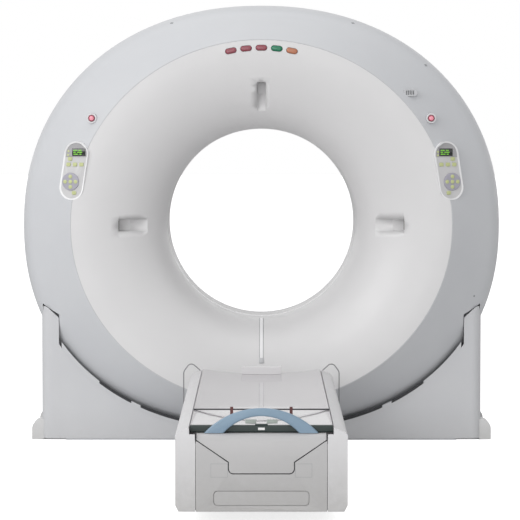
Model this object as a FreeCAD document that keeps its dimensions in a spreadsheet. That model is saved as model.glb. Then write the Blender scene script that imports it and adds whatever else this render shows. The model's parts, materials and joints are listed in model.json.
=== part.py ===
"""CT scanner: a tilting ring gantry on a split base, and a patient couch on two parallel lift arms.

Frame: +X to the right seen from the couch, +Y from the couch through the ring, +Z up, origin on the
floor under the middle of the whole machine. Lengths in the sheet are measured from the scan plane (Y),
from the isocentre (ring pieces) or from the floor (base and couch pieces), as each note says.
"""
import FreeCAD, Part
import Sketcher
import math
import os
import re

from FreeCAD import Placement, Rotation, Vector

os.makedirs("parts", exist_ok=True)
doc = FreeCAD.newDocument("ct_scanner")

# ---------------------------------------------------------------- driving dimensions, mm and degrees
driving = {
    # gantry ring, outwards from the bore
    "bore_radius": 450,
    "ring_top_power": 2.15,
    "ring_bottom_power": 2.25,
    "ring_overhang": 91,
    "ring_top_drop": 95,
    "ring_bottom_room": 80,
    "ring_floor_gap": 35,
    "rim_half_depth": 200,
    "rim_round": 55,
    "rim_round_depth": 130,
    "lip_depth": 470,
    "lip_side_margin": 243,
    "lip_top_margin": 172,
    "lip_bottom_margin": 156,
    "lip_land": 4,
    "throat_depth": 170,
    "band_half_depth": 20,
    "rear_depth": 480,
    "rear_side_margin": 126,
    "rear_bottom_margin": 130,
    "rear_throat": 300,
    "rear_flare": 90,
    "rear_flange": 22,
    "cover_wall": 7.5,
    "cover_edge": 3,
    "funnel_wall": 6,
    "band_wall": 1.5,
    "seam": 1,
    "seat_gap": 0.3,
    # laser recesses and light strip on the flare
    "laser_start": 85,
    "laser_length": 133,
    "laser_floor_depth": 350,
    "laser_top_width": 40,
    "laser_side_width": 58,
    "laser_wall": 4,
    "laser_glass": 3,
    "strip_width": 16,
    "strip_height": 4,
    "strip_length": 175,
    # signal lamps on the flare, above the bore
    "lamp_drop": 32,
    "lamp_arc_radius": 707,
    "lamp_spacing": 71.4,
    "lamp_length": 54,
    "lamp_width": 27,
    "lamp_proud": 4,
    "lamp_depth": 14,
    # control panels
    "panel_inset": 11,
    "panel_rise": 256,
    "panel_front": 457,
    "panel_turn": 17,
    "panel_lean": 9.1,
    "panel_width": 117,
    "panel_length": 275,
    "panel_depth": 46,
    "panel_rim": 7,
    "panel_rim_height": 5,
    "key_gap": 0.4,
    "key_width": 20,
    "key_height": 17,
    "key_proud": 4,
    "key_sunk": 4,
    "key_travel": 1.5,
    "pad_radius": 41,
    "display_width": 66,
    "display_height": 35,
    "display_thick": 5,
    # emergency stops and intercom
    "stop_inset": 93,
    "stop_rise": 500,
    "stop_front": 452,
    "stop_radius": 15,
    "collar_radius": 24,
    "collar_depth": 40,
    "stop_gap": 0.4,
    "stop_head": 14,
    "stem_radius": 8,
    "stop_travel": 5,
    "grille_inset": 191,
    "grille_rise": 619,
    "grille_front": 447,
    "grille_width": 68,
    "grille_height": 33,
    "grille_depth": 34,
    # rotor and tilt frame, outwards from the bore
    "drum_gap": 50,
    "drum_wall": 15,
    "drum_front": 150,
    "drum_rear": 210,
    "race_inset": 85,
    "race_wall": 40,
    "race_depth": 50,
    "collimator_height": 70,
    "collimator_width": 180,
    "collimator_depth": 120,
    "tube_radius": 105,
    "tube_length": 300,
    "detector_height": 90,
    "detector_half_angle": 40,
    "detector_depth": 150,
    "power_gap": 55,
    "power_half_height": 160,
    "rotor_rim": 43,
    "rotor_plate_front": 60,
    "rotor_plate": 25,
    "stator_wall": 42,
    "stator_gap": 0.8,
    "stator_depth": 60,
    "slip_ring_depth": 20,
    "frame_rim_wall": 20,
    "frame_rim_front": 120,
    "frame_plate_front": 150,
    "frame_plate": 25,
    "post_radius": 15,
    "post_inset": 130,
    # stand arms and trunnions
    "yoke_length": 60,
    "arm_thick": 60,
    "arm_gap": 10,
    "arm_half_depth": 70,
    "arm_above_iso": 85,
    "trunnion_radius": 45,
    "shaft_gap": 0.05,
    "arm_clearance": 2,
    "slot_angle": 40,
    "slot_start": 320,
    # gantry base
    "base_half_depth": 340,
    "base_below_iso": 438,
    "base_wall": 5,
    "base_corner": 44,
    "base_floor_gap": 8,
    "cut_side_gap": 20,
    "cut_gap": 60,
    "cut_power": 2.3,
    "rail_width": 130,
    "rail_tall": 60,
    "cross_tall": 35,
    "cross_depth": 60,
    "foot_out": 48,
    "foot_long": 120,
    "foot_tall": 96,
    "foot_round": 44,
    "foot_start": 200,
    "duct_width": 120,
    "duct_height": 12,
    # couch covers
    "couch_gap": 785,
    "couch_length": 2510,
    "couch_half_width": 322,
    "couch_wall": 5,
    "pillar_width": 77,
    "pillar_seam": 3,
    "skirt_bottom": 55,
    "skirt_round": 12,
    "lip_width": 52,
    "lip_below_table": 4,
    "lip_drop": 15,
    "tongue_half_width": 122,
    "tongue_knee": 242,
    "tongue_bottom": 198,
    "tongue_seam": 3,
    "shoulder_step": 6,
    "end_cover_rise": 8,
    "end_cover_back": 70,
    "end_round": 28,
    "recess_half_width": 179,
    "recess_bottom": 77,
    "recess_height": 57,
    "recess_depth": 6,
    # table and what rides on it
    "table_height": 373,
    "table_thick": 36,
    "table_gap": 2.5,
    "table_dip": 20,
    "beam_setback": 79,
    "beam_depth": 24,
    "beam_step": 10,
    "handle_rise": 66,
    "handle_half_width": 214,
    "handle_foot": 73,
    "handle_band": 30,
    "handle_gap": 1,
    "handle_depth": 22,
    "rod_radius": 3,
    "rod_setback": 553,
    "clip_offset": 117,
    "clip_radius": 6,
    "clip_rise": 10,
    "socket_half_width": 89,
    "socket_long": 60,
    "socket_rise": 15,
    # guard wires
    "wire_radius": 2.5,
    "wire_out": 32,
    "wire_foot": 150,
    "wire_bend": 30,
    "wire_rise": 34,
    # couch mechanism
    "plinth_thick": 12,
    "plinth_setback": 455,
    "plinth_far": 30,
    "pivot_front": 850,
    "pivot_spread": 1100,
    "pivot_height": 110,
    "lift_arm_length": 900,
    "lift_arm_start": 5,
    "lift_arm_half_height": 28,
    "lift_arm_offset": 120,
    "lift_arm_thick": 30,
    "lug_clearance": 3,
    "axle_radius": 18,
    "lug_thick": 22,
    "lug_half_width": 40,
    "beam_offset": 180,
    "beam_thick": 40,
    "beam_tall": 78,
    "cross_plate": 10,
    "cross_plate_depth": 80,
    "slide_height": 9,
    "slide_offset": 190,
    "slide_width": 25,
    "drive_radius": 45,
    "drive_length": 170,
}

# sizes that follow from the driving ones, so that what fits together stays together
derived = {
    "drum_inner": "bore_radius + drum_gap",
    "drum_outer": "drum_inner + drum_wall",
    "tube_centre": "drum_outer + collimator_height + tube_radius",
    "rotor_radius": "tube_centre + tube_radius + rotor_rim",
    "frame_inner": "rotor_radius + stator_wall",
    "frame_radius": "frame_inner + frame_rim_wall",
    "post_circle": "frame_radius - post_inset",
    "race_inner": "drum_outer + race_inset",
    "race_outer": "race_inner + race_wall",
    "detector_outer": "tube_centre",
    "detector_inner": "detector_outer - detector_height",
    "power_inner": "drum_outer + power_gap",
    "power_outer": "tube_centre + tube_radius",
    "arm_inner": "frame_radius + yoke_length",
    "base_half_width": "arm_inner + arm_thick + arm_gap + base_wall",
    "rail_inner": "base_half_width - base_wall - rail_width",
    "ring_half_width": "base_half_width + ring_overhang",
    "ring_top": "ring_half_width - ring_top_drop",
    "ring_bottom": "frame_radius + ring_bottom_room",
    "iso_height": "ring_bottom + ring_floor_gap",
    "lip_half_width": "ring_half_width - lip_side_margin",
    "lip_top": "ring_top - lip_top_margin",
    "lip_bottom": "ring_bottom - lip_bottom_margin",
    "rear_half_width": "ring_half_width - rear_side_margin",
    "rear_top": "ring_top - rear_side_margin",
    "rear_bottom": "ring_bottom - rear_bottom_margin",
    "rear_mouth_radius": "bore_radius + rear_flare",
    "laser_inner": "bore_radius + laser_start",
    "laser_outer": "laser_inner + laser_length",
    "strip_end": "bore_radius + strip_length",
    "lamp_height": "lip_top - lamp_drop",
    "panel_offset": "lip_half_width - panel_inset",
    "stop_offset": "lip_half_width - stop_inset",
    "grille_offset": "lip_half_width - grille_inset",
    "base_height": "iso_height - base_below_iso",
    "cut_half_width": "ring_half_width + cut_side_gap",
    "cut_radius": "ring_bottom + cut_gap",
    "lip_inner": "couch_half_width - lip_width",
    "lower_half_width": "couch_half_width - pillar_width",
    "table_bottom": "table_height - table_thick",
    "lip_height": "table_height - lip_below_table",
    "skirt_top": "lip_height - lip_drop",
    "skirt_shoulder": "skirt_top - skirt_round - 2",
    "frame_top": "table_bottom - cross_plate - slide_height",
    "frame_low": "frame_top - beam_tall",
    "lower_top": "frame_top",
    "shoulder_height": "lower_top + shoulder_step",
    "end_cover_top": "table_bottom + end_cover_rise",
    "beam_bottom": "table_bottom + beam_step",
    "handle_foot_height": "end_cover_top + handle_gap",
    "handle_top": "table_height + handle_rise",
    "wire_peak": "table_height + wire_rise",
    "table_half_width": "lip_inner - table_gap",
    "skirt_end_inner": "lower_half_width + pillar_seam",
    "plinth_half_width": "lower_half_width - couch_wall",
    "table_near": "couch_gap + couch_length - beam_setback",
    "rod_distance": "table_near - rod_setback",
    "lug_offset": "lift_arm_offset + lift_arm_thick + lug_clearance",
    "axle_half_length": "lug_offset + lug_thick + 3",
    "scan_y": "(couch_gap + couch_length - rear_depth) / 2",
}

dims = doc.addObject("Spreadsheet::Sheet", "dims")
for row, (alias, value) in enumerate({**driving, **derived}.items(), start=1):
    dims.set(f"A{row}", alias)
    dims.set(f"B{row}", f"={value}" if alias in derived else str(value))
    dims.setAlias(f"B{row}", alias)
doc.recompute()
mm = {alias: float(getattr(dims, alias)) for alias in [*driving, *derived]}

nodes = []


def node(label, item):
    """Names a finished sub-part; its label is its file's name."""
    item.Label = label
    nodes.append(item)
    return item


# ---------------------------------------------------------------- bound primitives
def cell(text):
    """Writes every alias in a formula as a reference to the sheet."""
    return re.sub(r"[a-z_]{3,}", lambda word: ("dims." if word.group(0) in mm else "") + word.group(0), str(text))


def move(item, x, y, z, rotation=None):
    """Places an object by formulas; y is measured from the scan plane."""
    if rotation:
        item.Placement = Placement(Vector(), rotation)
    item.setExpression("Placement.Base.x", cell(f"1 mm * ({x})"))
    item.setExpression("Placement.Base.y", cell(f"1 mm * (scan_y + ({y}))"))
    item.setExpression("Placement.Base.z", cell(f"1 mm * ({z})"))
    return item


def block(name, xs, ys, zs):
    """A box between low and high formulas on each axis."""
    item = doc.addObject("Part::Box", name)
    for prop, (low, high) in zip(("Length", "Width", "Height"), (xs, ys, zs)):
        item.setExpression(prop, cell(f"({high}) - ({low})"))
    return move(item, xs[0], ys[0], zs[0])


ALONG = {
    "x": Rotation(Vector(0, 1, 0), 90),
    "y": Rotation(Vector(1, 0, 0), -90),
    "z": Rotation(),
}


def rod(name, axis, radius, length, x, y, z):
    """A cylinder that starts at a point and runs along +axis."""
    item = doc.addObject("Part::Cylinder", name)
    item.setExpression("Radius", cell(radius))
    item.setExpression("Height", cell(length))
    return move(item, x, y, z, ALONG[axis])


def fuse(name, *items):
    item = doc.addObject("Part::MultiFuse", name)
    item.Shapes = list(items)
    return item


def cut(name, base, *tools):
    item = doc.addObject("Part::Cut", name)
    item.Base = base
    item.Tool = tools[0] if len(tools) == 1 else fuse(name + "_tools", *tools)
    return item


def feature(name, shape):
    """A sub-part whose form has no primitive: its shape is worked out here from the sheet's values."""
    item = doc.addObject("Part::Feature", name)
    item.Shape = shape
    return item


def mirrored(name, source):
    """The left-hand twin of a right-hand piece."""
    item = doc.addObject("Part::Mirroring", name)
    item.Source = source
    item.Base = Vector(0, 0, 0)
    item.Normal = Vector(1, 0, 0)
    return item


def present_value(text):
    """What a formula of sheet aliases comes to."""
    return float(dims.evalExpression(re.sub(r"[a-z_]{3,}", lambda word: str(mm.get(word.group(0), word.group(0))),
                                            str(text))))


def profile_sketch(body, role, points):
    """A closed outline of straight lines in a body's own plane, each corner placed by two formulas."""
    sketch = body.newObject("Sketcher::SketchObject", body.Name + "_outline")
    plane = [item for item in body.Origin.OriginFeatures if item.Role == role][0]
    sketch.AttachmentSupport = [(plane, "")]
    sketch.MapMode = "FlatFace"
    values = [[present_value(across), present_value(up)] for across, up in points]
    count = len(points)
    for index in range(count):
        start = Vector(*values[index], 0)
        end = Vector(*values[(index + 1) % count], 0)
        sketch.addGeometry(Part.LineSegment(start, end), False)
    for index in range(count):
        sketch.addConstraint(Sketcher.Constraint("Coincident", index, 2, (index + 1) % count, 1))
    for index, pair in enumerate(points):
        for kind, axis_line, text, value in zip(("DistanceX", "DistanceY"), (-2, -1), pair, values[index]):
            if abs(value) < 1e-9:
                sketch.addConstraint(Sketcher.Constraint("PointOnObject", index, 1, axis_line))
                continue
            number = sketch.addConstraint(Sketcher.Constraint(kind, -1, 1, index, 1, value))
            sketch.setExpression(f"Constraints[{number}]", cell(f"1 mm * ({text})"))
    return sketch


def turned(name, outline, y, height="iso_height"):
    """A ring turned about an axis along Y; the outline's pairs are (along, radius)."""
    body = doc.addObject("PartDesign::Body", name)
    sketch = profile_sketch(body, "YZ_Plane", outline)
    doc.recompute()
    turn = body.newObject("PartDesign::Revolution", name + "_turn")
    turn.Profile = sketch
    turn.ReferenceAxis = (sketch, ["H_Axis"])
    turn.Angle = 360
    body.Tip = turn
    return move(body, 0, y, height)


def padded(name, role, outline, length, x, y, z, reverse=False):
    """A straight-sided outline pushed out by a length."""
    body = doc.addObject("PartDesign::Body", name)
    sketch = profile_sketch(body, role, outline)
    doc.recompute()
    pad = body.newObject("PartDesign::Pad", name + "_pad")
    pad.Profile = sketch
    pad.setExpression("Length", cell(f"1 mm * ({length})"))
    pad.Reversed = reverse
    body.Tip = pad
    return move(body, x, y, z)


# ---------------------------------------------------------------- ring surfaces
SECTION_POINTS = 48
SECTION_START = 30  # the sections' seam lies low on the left, clear of every pocket


def power(value, exponent):
    return math.copysign(abs(value) ** exponent, value)


def section(y, half_width, above, below, top_power=2.0, bottom_power=2.0, grow=0.0):
    """A closed superellipse round the isocentre, in the plane y; its top and bottom halves differ."""
    points = []
    for step in range(SECTION_POINTS):
        angle = 2 * math.pi * (step + SECTION_START) / SECTION_POINTS
        upper = math.sin(angle) >= 0
        height = (above if upper else below) + grow
        exponent = 2 / (top_power if upper else bottom_power)
        x = (half_width + grow) * power(math.cos(angle), exponent)
        z = height * power(math.sin(angle), exponent)
        points.append(Vector(x, mm["scan_y"] + y, mm["iso_height"] + z))
    curve = Part.BSplineCurve()
    curve.interpolate(points, PeriodicFlag=True)
    return Part.Wire([curve.toShape()])


def ring_loft(stations, grow=0.0):
    return Part.makeLoft([section(*station, grow=grow) for station in stations], True, True)


def rim_station(y, inset):
    return (y, mm["ring_half_width"] - inset, mm["ring_top"] - inset, mm["ring_bottom"] - inset,
            mm["ring_top_power"], mm["ring_bottom_power"])


def round_stations(y_slope, y_rim, steps, inward):
    """Stations on the rounded edge between a slope and the rim, without the last one."""
    y_knee = y_slope + (y_rim - y_slope) * 0.3
    inset = mm["rim_round"] * abs(y_slope - y_rim) / mm["rim_round_depth"]
    found = []
    for step in range(steps):
        share = step / steps
        y = (1 - share) ** 2 * y_slope + 2 * share * (1 - share) * y_knee + share ** 2 * y_rim
        found.append(rim_station(y, inset * (1 - share) ** 2 + inward))
    return found


def front_stations(inward=0.0):
    """The front cover from its edge round the flare to the middle seam, or its inner skin."""
    edge = mm["lip_land"] + mm["seam"] + (0 if inward else mm["cover_edge"])
    lip = (-mm["lip_depth"], mm["lip_half_width"] + edge, mm["lip_top"] + edge, mm["lip_bottom"] + edge, 2.0, 2.0)
    y_rim = -mm["rim_half_depth"]
    y_slope = y_rim - mm["rim_round_depth"]
    return [lip, *round_stations(y_slope, y_rim, 8, inward), rim_station(y_rim, inward), rim_station(0, inward)]


def rear_stations(inward=0.0):
    rear = (mm["rear_depth"], mm["rear_half_width"] - inward, mm["rear_top"] - inward, mm["rear_bottom"] - inward,
            2.1, 2.1)
    y_rim = mm["rim_half_depth"]
    y_slope = y_rim + mm["rim_round_depth"] / 2
    return [rear, *round_stations(y_slope, y_rim, 6, inward), rim_station(y_rim, inward), rim_station(0, inward)]


def flare_station(degrees, set_back=0.0):
    """A section of the white flare: a quarter ellipse from the bore to the front lip."""
    angle = math.radians(degrees)
    run = mm["lip_depth"] - mm["throat_depth"]
    rise = mm["lip_half_width"] - mm["bore_radius"]
    normal = Vector(run * math.cos(angle), rise * math.sin(angle), 0).normalize() * set_back
    y = -mm["throat_depth"] - run * math.sin(angle) + normal.y
    radii = [mm["bore_radius"] + (mm[lip] - mm["bore_radius"]) * (1 - math.cos(angle)) + normal.x
             for lip in ("lip_half_width", "lip_top", "lip_bottom")]
    return (y, *radii)


def flare_stations(set_back=0.0, throat_end=0.0):
    """The bore's throat and the flare, from the middle of the ring outwards."""
    radius = mm["bore_radius"] + set_back
    return [(throat_end - mm["band_half_depth"], radius, radius, radius),
            *[flare_station(6 * step, set_back) for step in range(16)]]


def lip_station(y, grow=0.0):
    return (y, mm["lip_half_width"] + grow, mm["lip_top"] + grow, mm["lip_bottom"] + grow)


def flare_air(grow=0.0):
    return ring_loft([*flare_stations(throat_end=5), lip_station(-mm["lip_depth"] - 10)], grow)


def turned_solid(points):
    """A solid of revolution about the bore axis from (along, radius) pairs."""
    corners = [Vector(0, mm["scan_y"] + along, mm["iso_height"] + radius) for along, radius in points]
    face = Part.Face(Part.makePolygon([*corners, corners[0]]))
    return face.revolve(Vector(0, mm["scan_y"], mm["iso_height"]), Vector(0, 1, 0), 360)


def tube_y(inner, outer, low, high):
    return turned_solid([(low, inner), (high, inner), (high, outer), (low, outer)])


def box_at(x_low, x_high, y_low, y_high, z_low, z_high):
    return Part.makeBox(x_high - x_low, y_high - y_low, z_high - z_low,
                        Vector(x_low, mm["scan_y"] + y_low, z_low))


def stadium(width, length, depth, lean=0.0):
    """An upright slot-shaped prism round the origin, pushed towards +Y."""
    radius = width / 2
    half = length / 2 - radius
    top = Part.Arc(Vector(radius, 0, half), Vector(0, 0, half + radius), Vector(-radius, 0, half)).toShape()
    bottom = Part.Arc(Vector(-radius, 0, -half), Vector(0, 0, -half - radius), Vector(radius, 0, -half)).toShape()
    sides = [Part.makeLine(Vector(-radius, 0, half), Vector(-radius, 0, -half)),
             Part.makeLine(Vector(radius, 0, -half), Vector(radius, 0, half))]
    face = Part.Face(Part.Wire([top, sides[0], bottom, sides[1]]))
    solid = face.extrude(Vector(0, depth, 0))
    solid.rotate(Vector(), Vector(0, 1, 0), lean)
    return solid


# ---------------------------------------------------------------- things that sit in the covers
def panel_place(side):
    """The middle of a control panel's face; local -Y looks out of the panel."""
    centre = Vector(side * mm["panel_offset"], mm["scan_y"] - mm["panel_front"], mm["iso_height"] + mm["panel_rise"])
    return Placement(centre, Rotation(Vector(0, 0, 1), side * mm["panel_turn"]))


def placed(shape, placement):
    shape = shape.copy()
    shape.Placement = placement.multiply(shape.Placement)
    return shape


def panel_block(side, grow=0.0, proud=0.0):
    """A console's outer form, or with grow and proud the hole it sits in, open to the front."""
    front = mm["panel_rim_height"] + proud
    body = stadium(mm["panel_width"] + 2 * grow, mm["panel_length"] + 2 * grow, mm["panel_depth"] + front,
                   side * -mm["panel_lean"])
    body.translate(Vector(0, -front, 0))
    return placed(body, panel_place(side))


def stop_place(side):
    return Vector(side * mm["stop_offset"], mm["scan_y"] - mm["stop_front"], mm["iso_height"] + mm["stop_rise"])


def stop_well(side, radius):
    return Part.makeCylinder(radius, mm["collar_depth"], stop_place(side), Vector(0, 1, 0))


def grille_block(grow=0.0):
    plate = stadium(mm["grille_height"] + 2 * grow, mm["grille_width"] + 2 * grow, mm["grille_depth"], 90)
    plate.translate(Vector(mm["grille_offset"], mm["scan_y"] - mm["grille_front"],
                           mm["iso_height"] + mm["grille_rise"]))
    return plate


def arm_slot(side):
    """The wedge that a stand arm sweeps through the ring's cover while the ring tilts."""
    reach = mm["ring_half_width"]
    half = math.radians(mm["slot_angle"])
    start = mm["slot_start"]
    corners = [(start * math.tan(half), -start), (-start * math.tan(half), -start),
               (-reach * math.tan(half), -reach), (reach * math.tan(half), -reach)]
    low = mm["arm_inner"] - 10
    points = [Vector(side * low, mm["scan_y"] + y, mm["iso_height"] + z) for y, z in corners]
    face = Part.Face(Part.makePolygon([*points, points[0]]))
    return face.extrude(Vector(side * (mm["arm_thick"] + 20), 0, 0))


# ---------------------------------------------------------------- gantry covers (move with the tilt)
def front_cover():
    shell = ring_loft(front_stations()).cut(ring_loft(front_stations(mm["cover_wall"])))
    tools = [grille_block(mm["seat_gap"])]
    for side in (-1, 1):
        tools += [panel_block(side, mm["seat_gap"], mm["panel_width"]), stop_well(side, mm["collar_radius"] + mm["seat_gap"]),
                  arm_slot(side)]
    for tool in tools:
        shell = shell.cut(tool)
    return shell


def rear_cover():
    shell = ring_loft(rear_stations()).cut(ring_loft(rear_stations(mm["cover_wall"])))
    rear = rear_stations()[0]
    back = Part.Face(section(*rear, grow=-mm["cover_wall"] / 2)).extrude(Vector(0, -mm["cover_wall"], 0))
    mouth = tube_y(0, mm["rear_mouth_radius"] + mm["rear_flange"] + mm["seat_gap"], mm["rear_depth"] - 30,
                   mm["rear_depth"] + 10)
    return shell.fuse(back).cut([mouth, arm_slot(-1), arm_slot(1)]).removeSplitter()


def laser_pocket(turn_degrees, width, grow):
    """A recess that is deep at its outer end and runs out where the flare meets its floor."""
    outer = mm["laser_outer"] + grow
    inner = mm["laser_inner"] - grow
    pocket = Part.makeBox(width + 2 * grow, mm["lip_depth"] - mm["laser_floor_depth"] + grow, outer - inner,
                          Vector(-width / 2 - grow, -mm["lip_depth"], inner))
    pocket.rotate(Vector(), Vector(0, 1, 0), turn_degrees)
    pocket.translate(Vector(0, mm["scan_y"], mm["iso_height"]))
    return pocket


LASER_TURNS = {"top": 0, "left": -90, "right": 90}


def laser_width(place):
    return mm["laser_top_width"] if place == "top" else mm["laser_side_width"]


def lamp_block(index, grow=0.0):
    """One signal lamp; index counts from the middle lamp, -2 to 2."""
    turn = index * mm["lamp_spacing"] / mm["lamp_arc_radius"]
    lamp = stadium(mm["lamp_width"] + 2 * grow, mm["lamp_length"] + 2 * grow, mm["lamp_depth"], 90)
    lamp.rotate(Vector(), Vector(0, 1, 0), math.degrees(turn))
    drop = mm["lamp_arc_radius"] * (1 - math.cos(turn))
    lamp.translate(Vector(mm["lamp_arc_radius"] * math.sin(turn), mm["scan_y"] - mm["lip_depth"] - mm["lamp_proud"],
                          mm["iso_height"] + mm["lamp_height"] - drop))
    return lamp


def front_funnel():
    edge = mm["lip_land"]
    backing = ring_loft([*flare_stations(mm["funnel_wall"])[:-1], lip_station(mm["funnel_wall"] - mm["lip_depth"], edge),
                         lip_station(-mm["lip_depth"], edge)])
    pockets = [laser_pocket(turn, laser_width(place), mm["laser_wall"]) for place, turn in LASER_TURNS.items()]
    whole = backing.fuse(pockets).cut(flare_air())
    tools = [laser_pocket(turn, laser_width(place), 0) for place, turn in LASER_TURNS.items()]
    tools += [lamp_block(index, mm["seat_gap"]) for index in range(-2, 3)]
    tools += [panel_block(side, mm["seat_gap"], mm["panel_width"]) for side in (-1, 1)]
    for tool in tools:
        whole = whole.cut(tool)
    return whole


def laser_windows():
    """A small glass window on the deep end wall of each recess."""
    panes = []
    for place, turn in LASER_TURNS.items():
        half = laser_width(place) / 2 - 8
        pane = Part.makeBox(2 * half, 60, mm["laser_glass"],
                            Vector(-half, -mm["laser_floor_depth"] - 75, mm["laser_outer"] - mm["laser_glass"]))
        pane.rotate(Vector(), Vector(0, 1, 0), turn)
        pane.translate(Vector(0, mm["scan_y"], mm["iso_height"]))
        panes.append(pane)
    return Part.makeCompound(panes)


def light_rail():
    """The raised strip that follows the flare from the bore down to its end bracket."""
    skin = flare_air().cut(flare_air(-mm["strip_height"]))
    half = mm["strip_width"] / 2
    strip = box_at(-half, half, -mm["lip_depth"], -mm["throat_depth"], mm["iso_height"] - mm["strip_end"],
                   mm["iso_height"] - mm["bore_radius"])
    return skin.common(strip)


node("front_cover", feature("front_cover", front_cover()))
node("front_funnel", feature("front_funnel", front_funnel()))
node("rear_cover", feature("rear_cover", rear_cover()))
node("laser_windows", feature("laser_windows", laser_windows()))
node("light_rail", feature("light_rail", light_rail()))
node("lamps_red", feature("lamps_red", Part.makeCompound([lamp_block(index) for index in (-2, -1, 0)])))
node("lamp_green", feature("lamp_green", lamp_block(1)))
node("lamp_orange", feature("lamp_orange", lamp_block(2)))

node("rear_funnel", turned("rear_funnel", [
    ("0", "bore_radius"),
    ("rear_throat - band_half_depth", "bore_radius"),
    ("rear_depth - band_half_depth", "rear_mouth_radius"),
    ("rear_depth - band_half_depth", "rear_mouth_radius + rear_flange"),
    ("rear_depth - band_half_depth - funnel_wall", "rear_mouth_radius + rear_flange"),
    ("rear_depth - band_half_depth - funnel_wall", "rear_mouth_radius + funnel_wall"),
    ("rear_throat - band_half_depth", "bore_radius + funnel_wall"),
    ("0", "bore_radius + funnel_wall"),
], "band_half_depth"))
node("scan_window_band", turned("scan_window_band", [
    ("0", "bore_radius"), ("2 * band_half_depth", "bore_radius"),
    ("2 * band_half_depth", "bore_radius + band_wall"), ("0", "bore_radius + band_wall"),
], "-band_half_depth"))


# ---------------------------------------------------------------- control panels
KEY_NAMES = {
    "menu": (19, 55, "key"),
    "row_outer": (27, 29, "key"),
    "row_middle": (-5, 29, "key"),
    "row_inner": (-37, 29, "key"),
    "direction": (17, -51, "pad"),
    "light": (0, -103, "key"),
}
DISPLAY_OFFSET = {-1: 24, 1: -14}
DISPLAY_RISE = 86


def key_shape(side, name, grow=0.0, sink=0.0):
    """A key's solid, or with grow and sink the well that it drops into."""
    outboard, rise, kind = KEY_NAMES[name]
    depth = mm["key_proud"] + mm["key_sunk"] + sink
    if kind == "pad":
        body = Part.makeCylinder(mm["pad_radius"] + grow, depth, Vector(0, -mm["key_proud"], 0), Vector(0, 1, 0))
    else:
        width, height = mm["key_width"] + 2 * grow, mm["key_height"] + 2 * grow
        body = Part.makeBox(width, depth, height, Vector(-width / 2, -mm["key_proud"], -height / 2))
        upright = [edge for edge in body.Edges if abs(edge.tangentAt(edge.FirstParameter).y) > 0.9]
        body = body.makeFillet(4, upright)
    body.translate(Vector(side * outboard, 0, rise))
    return placed(body, panel_place(side))


def direction_pad(side):
    """The round pad with its five raised touch points in a cross."""
    pad = key_shape(side, "direction")
    outboard, rise, kind = KEY_NAMES["direction"]
    raised = []
    for across, up in ((0, 0), (-26, 0), (26, 0), (0, 24), (0, -24)):
        cap = Part.makeCylinder(9, 2.5, Vector(side * outboard + across, -mm["key_proud"] - 2, rise + up),
                                Vector(0, 1, 0))
        raised.append(placed(cap, panel_place(side)))
    return pad.fuse(raised)


def display_block(side, grow=0.0):
    width, height = mm["display_width"] + 2 * grow, mm["display_height"] + 2 * grow
    glass = Part.makeBox(width, mm["display_thick"], height,
                         Vector(DISPLAY_OFFSET[side] - width / 2, -1, DISPLAY_RISE - height / 2))
    return placed(glass, panel_place(side))


def panel_housing(side):
    """A slot-shaped console set in the cover, with a raised rim and a well for each key."""
    face = stadium(mm["panel_width"] - 2 * mm["panel_rim"], mm["panel_length"] - 2 * mm["panel_rim"],
                   mm["panel_rim_height"], side * -mm["panel_lean"])
    face.translate(Vector(0, -mm["panel_rim_height"], 0))
    tools = [placed(face, panel_place(side)), display_block(side, mm["seat_gap"])]
    tools += [key_shape(side, name, mm["key_gap"], 2 * mm["key_travel"]) for name in KEY_NAMES]
    return panel_block(side).cut(tools)


for side, word in ((-1, "left"), (1, "right")):
    node(f"panel_{word}", feature(f"panel_{word}", panel_housing(side)))
    for name in KEY_NAMES:
        shape = direction_pad(side) if name == "direction" else key_shape(side, name)
        label = f"key_{name}_{word}"
        node(label, feature(label, shape))
node("displays", feature("displays", Part.makeCompound([display_block(-1), display_block(1)])))


# ---------------------------------------------------------------- emergency stops and intercom
def stop_collar(side):
    bore = Part.makeCylinder(mm["stop_radius"] + mm["stop_gap"], mm["collar_depth"] / 2, stop_place(side),
                             Vector(0, 1, 0))
    stem = Part.makeCylinder(mm["stem_radius"] + mm["stop_gap"], mm["collar_depth"], stop_place(side),
                             Vector(0, 1, 0))
    return stop_well(side, mm["collar_radius"]).cut([bore, stem])


def stop_button(side):
    place = stop_place(side)
    head = Part.makeCylinder(mm["stop_radius"], mm["stop_head"], place - Vector(0, 8, 0), Vector(0, 1, 0))
    front = [edge for edge in head.Edges if edge.BoundBox.YMax < place.y - 7]
    head = head.makeFillet(4, front)
    stem = Part.makeCylinder(mm["stem_radius"], mm["collar_depth"] - 2 * mm["stop_travel"], place, Vector(0, 1, 0))
    return head.fuse(stem)


node("stop_collars", feature("stop_collars", Part.makeCompound([stop_collar(-1), stop_collar(1)])))
node("stop_button_left", feature("stop_button_left", stop_button(-1)))
node("stop_button_right", feature("stop_button_right", stop_button(1)))


def intercom_grille():
    plate = grille_block()
    centre = Vector(mm["grille_offset"], mm["scan_y"] - mm["grille_front"], mm["iso_height"] + mm["grille_rise"])
    tall = mm["grille_height"] * 0.6
    slots = [Part.makeBox(4, 8, tall, centre + Vector(8 * index - 2, 0, -tall / 2)) for index in range(-2, 3)]
    return plate.cut(slots)


node("intercom_grille", feature("intercom_grille", intercom_grille()))


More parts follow.
